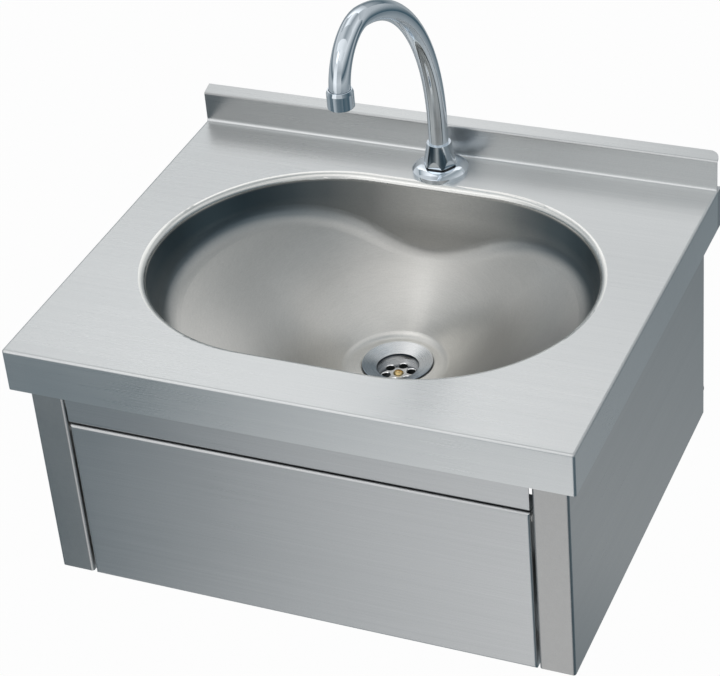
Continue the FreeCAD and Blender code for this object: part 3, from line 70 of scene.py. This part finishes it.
# The bowl's painted light round the drain and painted shade in its right front corner fade over this way
# from the drain
PAINTED_LIGHT_REACH = 0.2

# The rim of a hand basin stands about this high above the floor
RIM_HEIGHT = 0.87
FLOOR_Z = DECK_Z - RIM_HEIGHT
FLOOR_REACH = 30.0

# The share of plain white in what the camera sees of the floor; the rest shows the shadow
FLOOR_WHITE = 0.96

# The room of cloths round the basin, from just above the floor up to its ceiling
ROOM_LEFT, ROOM_RIGHT = -2.6, 2.2
ROOM_FRONT, ROOM_BACK = -3.0, 2.2
ROOM_LOW, ROOM_HIGH = FLOOR_Z + 0.01, 2.4

# Where the cloths on the floor in front of the basin meet those under it
FLOOR_SEAM = -0.7

# Level of the palest studio cloth; 1 is white
BRIGHTEST = 1.6

# The one lamp, a soft square up at the front left
KEY_PLACE = (-0.80, -1.60, 1.55)
KEY_TARGET = (0.0, -0.2, 0.0)
KEY_SIDE = 0.7
KEY_WATTS = 1.0

# The photograph's viewpoint, worked out from the edges of the worktop and the apron;
# the lens and the sensor are in millimetres, the turns in degrees
CAMERA_LENS = 120.09
CAMERA_SENSOR = 36.0
CAMERA_PLACE = (0.73562, -1.77399, 1.12947)
CAMERA_TURNS = (55.5607, 4.4956, 22.5821)


class Value:
    """A shader socket that can be used in sums."""

    def __init__(self, sheet, socket):
        self.sheet = sheet
        self.socket = socket

    def _math(self, operation, first, second):
        return self.sheet.value("ShaderNodeMath", {"operation": operation}, {0: first, 1: second})

    def __add__(self, other):
        return self._math("ADD", self, other)

    def __radd__(self, other):
        return self._math("ADD", other, self)

    def __sub__(self, other):
        return self._math("SUBTRACT", self, other)

    def __rsub__(self, other):
        return self._math("SUBTRACT", other, self)

    def __mul__(self, other):
        return self._math("MULTIPLY", self, other)

    def __rmul__(self, other):
        return self._math("MULTIPLY", other, self)

    def __truediv__(self, other):
        return self._math("DIVIDE", self, other)

    def __pow__(self, other):
        return self._math("POWER", self, other)


class Sheet:
    """The node sheet of one material or of the world."""

    def __init__(self, tree):
        self.tree = tree
        self.tree.nodes.clear()

    def node(self, kind, settings=None, inputs=None):
        """A new node: its settings first, then the values or links of its sockets."""
        made = self.tree.nodes.new(kind)
        for name, setting in (settings or {}).items():
            if name == "stops":
                self._set_stops(made.color_ramp, setting)
            else:
                setattr(made, name, setting)
        for name, value in (inputs or {}).items():
            socket = made.inputs[name]
            if isinstance(value, Value):
                self.tree.links.new(value.socket, socket)
            else:
                socket.default_value = value
        return made

    def _set_stops(self, ramp, stops):
        while len(ramp.elements) < len(stops):
            ramp.elements.new(0.5)
        for element, (place, level) in zip(ramp.elements, stops):
            element.position = place
            element.color = (level, level, level, 1.0) if isinstance(level, float) else (*level, 1.0)

    def value(self, kind, settings=None, inputs=None, output=0):
        return Value(self, self.node(kind, settings, inputs).outputs[output])

    def place(self):
        """The point on the piece in metres, moving with the piece."""
        return self.value("ShaderNodeTexCoord", output=3)

    def normal(self):
        """The way the face looks, in the frame's axes."""
        return self.value("ShaderNodeNewGeometry", output=1)

    def parts(self, vector):
        """The X, Y and Z of a vector."""
        split = self.node("ShaderNodeSeparateXYZ", {}, {0: vector})
        return [Value(self, output) for output in split.outputs]

    def vector(self, x, y, z):
        return self.value("ShaderNodeCombineXYZ", {}, {0: x, 1: y, 2: z})

    def stretched(self, place, factors):
        return self.value("ShaderNodeVectorMath", {"operation": "MULTIPLY"}, {0: place, 1: factors})

    def noise(self, place, scale=1.0, detail=3.0, roughness=0.5):
        """A cloudy pattern that swings about 0.5."""
        return self.value("ShaderNodeTexNoise", {"noise_dimensions": "3D"},
                          {"Vector": place, "Scale": scale, "Detail": detail, "Roughness": roughness})

    def ramp(self, value, stops):
        """The level or colour that the stops give for a value from 0 to 1."""
        return self.value("ShaderNodeValToRGB", {"stops": stops}, {0: value})

    def between(self, share, first, second):
        """A colour between two colours; a fixed one is three numbers."""
        ends = [colour if isinstance(colour, Value) else (*colour, 1.0) for colour in (first, second)]
        return self.value("ShaderNodeMix", {"data_type": "RGBA", "clamp_factor": True},
                          {0: share, 6: ends[0], 7: ends[1]}, output=2)

    def scaled(self, colour, factor):
        return self.value("ShaderNodeVectorMath", {"operation": "SCALE"}, {0: colour, "Scale": factor})

    def bump(self, height, depth):
        return self.value("ShaderNodeBump", {}, {"Height": height, "Distance": depth, "Strength": 1.0})

    def seen(self):
        """1 for what the camera, a mirror or a glass shows directly, 0 for soft light."""
        path = self.node("ShaderNodeLightPath")
        camera, mirror, glass = [Value(self, path.outputs[f"Is {ray} Ray"])
                                 for ray in ("Camera", "Glossy", "Transmission")]
        return self.value("ShaderNodeMath", {"operation": "ADD", "use_clamp": True},
                          {0: camera + mirror, 1: glass})

    def put_out(self, shader, kind="ShaderNodeOutputMaterial"):
        """Makes a shader the one that shows."""
        self.node(kind, {}, {"Surface": shader})

    def cover(self, colour, roughness, normal, metallic=1.0):
        """Puts out the surface of a piece, which is metal unless told otherwise."""
        self.put_out(self.value("ShaderNodeBsdfPrincipled", {}, {
            "Metallic": metallic, "Base Color": colour, "Roughness": roughness, "Normal": normal}))


def new_material(name):
    material = bpy.data.materials.new(name)
    material.use_nodes = True
    return material, Sheet(material.node_tree)


def varied(middle, *swings):
    """A value that swings about its middle with patterns, each with its own share."""
    total = middle
    for pattern, share in swings:
        total = total + (pattern - 0.5) * share
    return total


# Finishes

def brushed_steel(name, grain, light, dark, roughness, scratch_depth=0.00002, tone=None):
    """Satin sheet: fine lines along one axis with broader ones between them, soft clouds left by the
    belt and a fine mottle. The tone, if given, is painted light and shade: how bright the colour is
    painted at a point."""
    material, sheet = new_material(name)
    place = sheet.place()
    lines = sheet.noise(sheet.stretched(place, grain), detail=4.0, roughness=0.62)
    broad = sheet.noise(sheet.stretched(place, tuple(waves * 0.16 for waves in grain)), detail=2.0)
    clouds = sheet.noise(place, scale=5.0, roughness=0.55)
    mottle = sheet.noise(place, scale=1100.0, detail=1.0)
    share = varied(0.5, (lines, 1.1), (broad, 0.45), (clouds, 0.6), (mottle, 0.9))
    colour = sheet.between(share, dark, light)
    if tone:
        # Painted light and shade: the tone scales the colour
        colour = sheet.scaled(colour, tone(sheet, *sheet.parts(place)))
    sheet.cover(colour, varied(roughness, (lines, 0.16), (clouds, 0.12)),
                sheet.bump(lines * 0.9 + broad * 0.1, scratch_depth))
    return material


def looking_forward(sheet):
    """1 on faces that look to the front, 0 on the others."""
    return sheet.ramp(0.0 - sheet.parts(sheet.normal())[Y], [(0.6, 0.0), (0.8, 1.0)])


def worktop_painted_light(sheet, x, y, z):
    """Painted shade on the upstand's face, most at its left end, and painted light on the front edge
    and the rear of the deck, which are brighter than the rest of the deck."""
    forward = looking_forward(sheet)
    centimetres_up = (z - DECK_Z) * 100.0
    above = sheet.ramp(centimetres_up, [(0.1, 0.0), (0.4, 1.0)])
    across = (x - TOP_LOW.x) / (TOP_HIGH.x - TOP_LOW.x)
    rear = sheet.ramp((y - TOP_LOW.y) / (TOP_HIGH.y - TOP_LOW.y), [(0.65, 0.0), (0.95, 1.0)])
    # Painted shade on the upstand's face; painted light on the front edge and the rear of the deck
    upstand = forward * above * (0.40 - across * 0.40)
    return 1.0 - upstand + (forward * 0.12 + rear * 0.10) * (1.0 - above)


def side_painted_shade(sheet, x, y, z):
    """Painted shade: the folded front of a side panel is painted darker than its broad face, most on the
    right.
    """
    return 1.0 - looking_forward(sheet) * (0.11 + x * 0.3)


def about_the_drain(sheet, x, y):
    """How far a point lies to the right and the rear of the drain, how far out, and at what angle."""
    right = x - DRAIN_X
    rear = y - DRAIN_Y
    radius = (right * right + rear * rear) ** 0.5
    turn = sheet.value("ShaderNodeMath", {"operation": "ARCTAN2"}, {0: rear, 1: right})
    return right, rear, radius, turn


def to_the_sides(x, middle):
    """0 at the middle, growing with the square of the way to either side; 1 is 158 mm out."""
    way = x - middle
    return way * way * 40.0


def bowl_painted_light(sheet, x, level, right, rear, radius):
    """Painted light and shade on the bowl: brightest round the drain, on the front wall and high on the
    wall near the middle, and darkest in the right front corner."""
    near = sheet.ramp(radius / PAINTED_LIGHT_REACH, [(0.18, 1.0), (0.30, 0.86), (0.45, 0.70), (1.0, 0.71)])
    corner = sheet.ramp((right - rear * 1.5) / PAINTED_LIGHT_REACH, [(0.2, 1.0), (1.0, 0.5)])
    middle = sheet.ramp(to_the_sides(x, 0.03), [(0.0, 1.0), (0.08, 0.8), (0.3, 0.0)])
    high = sheet.ramp(level, [(0.66, 0.0), (0.78, 1.0)])
    front = sheet.ramp(sheet.parts(sheet.normal())[Y], [(0.35, 0.0), (0.85, 1.0)])
    return near * corner + high * middle * 0.30 + front * 0.35


def wall_shade(sheet, x, level):
    """How much of the wall's painted shade shows: none on the lip and the floor, most high on the wall
    and to the sides."""
    height = sheet.ramp(level, [(0.40, 0.0), (0.62, 0.65), (0.85, 1.0), (0.945, 1.0), (0.97, 0.0)])
    steep = sheet.ramp(sheet.parts(sheet.normal())[Z], [(0.55, 1.0), (0.92, 0.0)])
    sideways = sheet.ramp(to_the_sides(x, -0.005),
                          [(0.0, 0.08), (0.1, 0.30), (0.35, 0.72), (0.6, 0.90), (1.0, 1.0)])
    return height * steep * sideways


def polished_bowl(name, light, dark, wall, lip, roughness):
    """Drawn bowl, polished round and round: the lines circle the drain, the rolled lip is bright,
    and the steep wall under it gets a darker and bluer painted shade; painted light and shade vary the
    rest."""
    material, sheet = new_material(name)
    place = sheet.place()
    x, y, z = sheet.parts(place)
    right, rear, radius, turn = about_the_drain(sheet, x, y)
    rings = sheet.noise(sheet.vector(radius * 900.0, turn * 3.0, z * 900.0), roughness=0.6)
    swirl = sheet.noise(sheet.vector(radius * 90.0, turn * 2.0, z * 90.0), detail=2.0)
    clouds = sheet.noise(place, scale=7.0, roughness=0.55)
    mottle = sheet.noise(place, scale=900.0, detail=1.0)
    share = varied(0.5, (rings, 1.1), (swirl, 0.4), (clouds, 0.5), (mottle, 0.9))
    # 0 at the bottom of the bowl, 1 at the deck
    level = (z - BOWL_LOW.z) / (DECK_Z - BOWL_LOW.z)
    # Painted light and shade scale the metal's colour
    metal = sheet.scaled(sheet.between(share, dark, light),
                         bowl_painted_light(sheet, x, level, right, rear, radius))
    # Painted shade: the dark wall colour covers the steep wall under the lip
    below_lip = sheet.between(wall_shade(sheet, x, level), metal, wall)
    rolled = sheet.ramp(level, [(0.955, 0.0), (0.965, 1.0)])
    sheet.cover(sheet.between(rolled, below_lip, lip),
                varied(roughness, (rings, 0.12), (clouds, 0.10)) - rolled * 0.12,
                sheet.bump(rings * 0.7 + swirl * 0.3, 0.000015))
    return material


def spun_ring(name, light, dark, recess_shade, roughness):
    """Pressed waste flange: a satin ring turned about the drain, with a painted highlight towards its
    back, painted shade dark high on the recessed wall, and brighter polished on the strainer."""
    material, sheet = new_material(name)
    place = sheet.place()
    x, y, z = sheet.parts(place)
    _, rear, radius, turn = about_the_drain(sheet, x, y)
    rings = sheet.noise(sheet.vector(radius * 2500.0, turn * 1.5, z * 2500.0), roughness=0.6)
    film = sheet.noise(place, scale=120.0, roughness=0.6)
    # A painted highlight makes the turned cone brightest towards the back
    share = varied(0.30, (rings, 0.5), (film, 0.3)) + rear / radius * 0.85
    strainer = sheet.ramp(radius / STRAINER_RADIUS, [(0.93, 1.0), (0.98, 0.0)])
    upright = sheet.ramp(sheet.parts(sheet.normal())[Z], [(0.15, 1.0), (0.45, 0.0)])
    level = (z - FLANGE_LOW.z) / (FLANGE_HIGH.z - FLANGE_LOW.z)
    height = sheet.ramp(level, [(0.38, 0.40), (0.56, 1.0)])
    metal = sheet.between(strainer, sheet.between(share, dark, light), light)
    # Painted shade: the dark recess colour covers the upright wall high up in the recess
    sheet.cover(sheet.between(upright * height, metal, recess_shade),
                varied(roughness, (rings, 0.15)) - strainer * 0.14,
                sheet.bump(rings, 0.00002))
    return material


def plated(name, light, dark, roughness):
    """Chrome with faint wiping marks."""
    material, sheet = new_material(name)
    place = sheet.place()
    film = sheet.noise(place, scale=60.0, detail=4.0, roughness=0.6)
    marks = sheet.noise(sheet.stretched(place, (40.0, 40.0, 500.0)), roughness=0.6)
    sheet.cover(sheet.between(film, dark, light),
                varied(roughness, (film, 0.05), (marks, 0.04)),
                sheet.bump(film, 0.00004))
    return material


def turned_metal(name, light, dark, roughness):
    """Machined brass or steel: fine tool rings, darker where it has dulled."""
    material, sheet = new_material(name)
    place = sheet.place()
    rings = sheet.noise(sheet.stretched(place, (300.0, 300.0, 2500.0)), detail=2.0)
    stains = sheet.noise(place, scale=90.0, detail=4.0, roughness=0.65)
    dull = sheet.ramp(stains, [(0.35, 0.0), (0.7, 1.0)])
    sheet.cover(sheet.between(dull, light, dark),
                varied(roughness, (rings, 0.15)) + dull * 0.12,
                sheet.bump(rings, 0.00003))
    return material


def moulded(name, light, dark, roughness):
    """Rubber or plastic from a mould: a fine matt grain and slight dust."""
    material, sheet = new_material(name)
    place = sheet.place()
    texture = sheet.noise(place, scale=1400.0, roughness=0.6)
    dust = sheet.noise(place, scale=45.0, detail=4.0, roughness=0.6)
    sheet.cover(sheet.between(dust, dark, light),
                varied(roughness, (texture, 0.2), (dust, 0.1)),
                sheet.bump(texture, 0.00005), metallic=0.0)
    return material


# How closely the brushed lines follow one another, per metre along each axis
GRAIN_ALONG_X = (9.0, 1500.0, 1500.0)
GRAIN_ALONG_Y = (1500.0, 9.0, 1500.0)

# Each finish, with its lighter colour and then its darker one, and the nodes that wear it
FINISHES = [
    (brushed_steel("worktop_satin", GRAIN_ALONG_X, (0.72, 0.73, 0.73), (0.60, 0.615, 0.62),
                   roughness=0.30, scratch_depth=0.00003, tone=worktop_painted_light),
     ["worktop"]),
    # The bowl's wall colour is a darker and bluer painted shade
    (polished_bowl("bowl_satin", (0.90, 0.885, 0.85), (0.76, 0.75, 0.72),
                   wall=(0.085, 0.125, 0.15), lip=(0.84, 0.84, 0.815), roughness=0.36),
     ["basin_bowl"]),
    (brushed_steel("front_satin", GRAIN_ALONG_X, (0.69, 0.695, 0.70), (0.56, 0.57, 0.575),
                   roughness=0.32),
     ["front_rail", "knee_panel"]),
    (brushed_steel("side_satin", GRAIN_ALONG_Y, (0.665, 0.66, 0.65), (0.55, 0.545, 0.54),
                   roughness=0.32, tone=side_painted_shade),
     ["side_panel_left", "side_panel_right"]),
    (brushed_steel("bracket_mill", GRAIN_ALONG_X, (0.55, 0.57, 0.58), (0.42, 0.43, 0.44),
                   roughness=0.42),
     ["rear_rail", "valve_crossbar"]),
    (plated("tap_chrome", (0.81, 0.87, 0.92), (0.71, 0.77, 0.83), roughness=0.05),
     ["tap_base", "swivel_nut", "spout_tube", "aerator_housing", "feed_pipe", "feed_nuts"]),
    # The strainer's dark blue-grey shows on the cone's painted-shaded sides, and its recess colour is a
    # painted shade
    (spun_ring("strainer_satin", (0.96, 0.96, 0.96), (0.36, 0.42, 0.48),
               recess_shade=(0.03, 0.04, 0.055), roughness=0.28),
     ["waste_flange"]),
    (turned_metal("turned_brass", (0.95, 0.74, 0.38), (0.62, 0.44, 0.19), roughness=0.22),
     ["valve_body", "valve_locknut", "inlet_unions", "waste_screw", "tap_backnut"]),
    (turned_metal("turned_steel", (0.74, 0.75, 0.76), (0.55, 0.56, 0.58), roughness=0.20),
     ["pivot_pins", "valve_plunger", "tap_clamp_washer"]),
    (turned_metal("spring_wire", (0.60, 0.60, 0.61), (0.42, 0.42, 0.44), roughness=0.25),
     ["valve_spring"]),
    (moulded("black_rubber", (0.05, 0.05, 0.052), (0.02, 0.02, 0.021), roughness=0.62),
     ["wall_buffers", "striker_pad", "tap_deck_seal", "tap_ring_seal",
      "waste_flange_seal", "waste_body_seal"]),
    (moulded("white_plastic", (0.82, 0.82, 0.80), (0.70, 0.70, 0.68), roughness=0.45),
     ["pivot_bushes"]),
    (moulded("black_plastic", (0.06, 0.06, 0.063), (0.03, 0.03, 0.032), roughness=0.40),
     ["aerator_insert"]),
    (moulded("grey_plastic", (0.13, 0.14, 0.14), (0.09, 0.10, 0.10), roughness=0.42),
     ["waste_body"]),
]


def dress_nodes():
    for material, names in FINISHES:
        for name in names:
            NODES[name].data.materials.clear()
            NODES[name].data.materials.append(material)


def make_return_spring():
    """The wound spring behind the button: a copy of the valve spring, hung on the shell in its place."""
    low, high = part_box("valve_spring")
    slide = next(joint for joint in frame["joints"] if joint["name"] == "plunger_slide")
    spring = bpy.data.objects.new("return_spring", NODES["valve_spring"].data.copy())
    bpy.context.scene.collection.objects.link(spring)
    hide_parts("valve_spring")
    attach(spring, "shell")
    1 - slide["range_m"][1] / (high.y - low.y)
    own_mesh(spring)


# Studio

def flat_card(name, corners, material):
    """A flat four-cornered card of one material."""
    mesh = bpy.data.meshes.new(name)
    mesh.from_pydata(corners, [], [(0, 1, 2, 3)])
    mesh.materials.append(material)
    card = bpy.data.objects.new(name, mesh)
    bpy.context.scene.collection.objects.link(card)
    return card


def make_floor():
    """Pale floor: plain white to the camera, with a trace of the basin's shadow."""
    material, sheet = new_material("pale_floor")
    shade = sheet.value("ShaderNodeBsdfDiffuse", {}, {"Color": (0.80, 0.80, 0.80, 1.0)})
    glow = sheet.value("ShaderNodeEmission", {}, {"Color": (1, 1, 1, 1), "Strength": 1.0})
    sheet.put_out(sheet.value("ShaderNodeMixShader", {},
                              {0: sheet.seen() * FLOOR_WHITE, 1: shade, 2: glow}))
    corners = [(x * FLOOR_REACH, y * FLOOR_REACH, FLOOR_Z)
               for x, y in ((-1, -1), (1, -1), (1, 1), (-1, 1))]
    floor = flat_card("floor", corners, material)


def make_world():
    """White where it is seen, and a pale grey as soft light."""
    world = bpy.data.worlds.new("studio")
    world.use_nodes = True
    bpy.context.scene.world = world
    sheet = Sheet(world.node_tree)
    tone = sheet.between(sheet.seen(), (0.70, 0.71, 0.72), (1.0, 1.0, 1.0))
    sheet.put_out(sheet.value("ShaderNodeBackground", {}, {"Color": tone, "Strength": 1.0}),
                  "ShaderNodeOutputWorld")


def make_key_light():
    light = bpy.data.lights.new("key", "AREA")
    light.shape = "RECTANGLE"
    light.size = KEY_SIDE
    light.size_y = KEY_SIDE
    light.energy = KEY_WATTS
    holder = bpy.data.objects.new("key", light)
    holder.location = KEY_PLACE
    holder.rotation_mode = "QUATERNION"
    holder.rotation_quaternion = (Vector(KEY_PLACE) - Vector(KEY_TARGET)).to_track_quat("Z", "Y")
    bpy.context.scene.collection.objects.link(holder)


def cloth_tone(level):
    """A grey of the studio's cloths; the darker ones are a little cooler."""
    cool = 1.0 - min(level, 1.0)
    return tuple(max(tone, 0.0) / BRIGHTEST for tone in (level - 0.05 * cool, level, level + 0.03 * cool))


def cloth_material(name, start, end, along, levels):
    """Plain glowing greys that change along one axis, from its start to its end."""
    material, sheet = new_material(f"{name}_cloth")
    share = (sheet.parts(sheet.place())[along] - start) / (end - start)
    tones = sheet.ramp(share, [(place, cloth_tone(level)) for place, level in levels])
    sheet.put_out(sheet.value("ShaderNodeEmission", {}, {"Color": tones, "Strength": BRIGHTEST}))
    return material


def studio_card(name, low, high, along, levels):
    """A cloth that only metal sees, flat between two corners; its level changes along one axis."""
    flat = [axis for axis in (X, Y, Z) if low[axis] == high[axis]][0]
    first, second = [axis for axis in (X, Y, Z) if axis != flat]
    corners = []
    for first_end, second_end in ((low, low), (high, low), (high, high), (low, high)):
        corner = list(low)
        corner[first] = first_end[first]
        corner[second] = second_end[second]
        corners.append(corner)
    card = flat_card(name, corners, cloth_material(name, low[along], high[along], along, levels))
    card.visible_camera = False
    card.visible_shadow = False
    card.visible_diffuse = False


def hung_across(name, y, left, right, levels):
    """A cloth across the front or the back of the room, with its levels from the foot up."""
    studio_card(name, (left, y, ROOM_LOW), (right, y, ROOM_HIGH), Z, levels)


def hung_beside(name, x, levels):
    """A cloth along one side of the room, with its levels from the foot up."""
    studio_card(name, (x, ROOM_FRONT, ROOM_LOW), (x, ROOM_BACK, ROOM_HIGH), Z, levels)


def spread_level(name, z, front, back, levels):
    """A level cloth over the whole width of the room, with its levels from left to right."""
    studio_card(name, (ROOM_LEFT, front, z), (ROOM_RIGHT, back, z), X, levels)


def spread_beside(name, left, right, levels):
    """A cloth on the floor under and behind the basin, with its levels from front to back."""
    studio_card(name, (left, FLOOR_SEAM, ROOM_LOW), (right, ROOM_BACK, ROOM_LOW), Y, levels)


def hang_walls():
    hung_across("back_left", ROOM_BACK, ROOM_LEFT, -0.9,
                [(0.0, 0.35), (0.2, 0.40), (0.33, 0.20), (0.6, 0.50), (1.0, 1.60)])
    hung_across("back_middle", ROOM_BACK, -0.9, 0.3,
                [(0.0, 0.35), (0.2, 0.40), (0.33, 0.15), (0.6, 0.65), (1.0, 1.35)])
    hung_across("back_right", ROOM_BACK, 0.3, ROOM_RIGHT,
                [(0.0, 0.10), (0.33, 0.50), (0.6, 0.60), (1.0, 0.50)])
    hung_beside("left_side", ROOM_LEFT,
                [(0.0, 0.40), (0.2, 0.50), (0.38, 0.15), (0.6, 0.75), (1.0, 0.60)])
    hung_beside("right_side", ROOM_RIGHT,
                [(0.0, 0.30), (0.2, 0.50), (0.38, 0.10), (0.68, 0.60), (1.0, 0.90)])
    hung_across("front_left", ROOM_FRONT, ROOM_LEFT, -0.4,
                [(0.0, 0.75), (0.3, 1.10), (0.6, 1.00), (1.0, 0.75)])
    hung_across("front_right", ROOM_FRONT, -0.4, ROOM_RIGHT,
                [(0.0, 0.45), (0.3, 0.65), (0.6, 0.50), (1.0, 0.80)])


def spread_ceiling():
    spread_level("ceiling_far", ROOM_HIGH, ROOM_FRONT, -1.6,
                 [(0.0, 0.70), (0.2, 0.75), (0.55, 1.00), (1.0, 0.65)])
    spread_level("ceiling_front", ROOM_HIGH, -1.6, -0.7,
                 [(0.0, 1.10), (0.55, 0.95), (0.75, 0.80), (1.0, 0.80)])
    spread_level("ceiling_middle", ROOM_HIGH, -0.7, 0.4,
                 [(0.0, 0.70), (0.35, 0.70), (0.55, 0.35), (1.0, 0.75)])
    spread_level("ceiling_back", ROOM_HIGH, 0.4, ROOM_BACK,
                 [(0.0, 0.20), (0.33, 1.20), (0.6, 0.35), (1.0, 0.90)])


def spread_floor_cloths():
    spread_level("floor_far", ROOM_LOW, ROOM_FRONT, -1.65,
                 [(0.0, 0.30), (0.35, 0.50), (0.5, 0.20), (0.7, 0.15), (1.0, 0.30)])
    spread_level("floor_front", ROOM_LOW, -1.65, -1.2,
                 [(0.0, 0.35), (0.37, 0.05), (0.46, 0.90), (0.55, 1.10), (0.7, 0.05), (1.0, 0.20)])
    spread_level("floor_near", ROOM_LOW, -1.2, FLOOR_SEAM,
                 [(0.0, 0.30), (0.38, 0.05), (0.47, 0.55), (0.55, 0.90), (0.7, 0.05), (1.0, 0.20)])
    spread_beside("floor_right", 0.3, ROOM_RIGHT,
                  [(0.0, 0.15), (0.22, 0.10), (0.4, 0.40), (0.6, 0.30), (1.0, 0.10)])
    spread_beside("floor_left", ROOM_LEFT, 0.3,
                  [(0.0, 0.35), (1.0, 0.35)])


def make_studio():
    """A white floor and world, one soft lamp, and a room of plain grey cloths round the basin."""
    make_floor()
    make_world()
    make_key_light()
    hang_walls()
    spread_ceiling()
    spread_floor_cloths()


def make_camera():
    camera = bpy.data.cameras.new("photo_camera")
    camera.sensor_width = CAMERA_SENSOR
    camera.lens = CAMERA_LENS
    camera.clip_start = 0.05
    camera.clip_end = 100.0
    holder = bpy.data.objects.new("photo_camera", camera)
    holder.location = CAMERA_PLACE
    holder.rotation_euler = Euler([math.radians(angle) for angle in CAMERA_TURNS], "XYZ")
    bpy.context.scene.collection.objects.link(holder)
    bpy.context.scene.camera = holder


def main():
    dress_nodes()
    make_return_spring()
    make_studio()
    make_camera()
    bpy.context.scene.view_settings.view_transform = "Standard"


main()
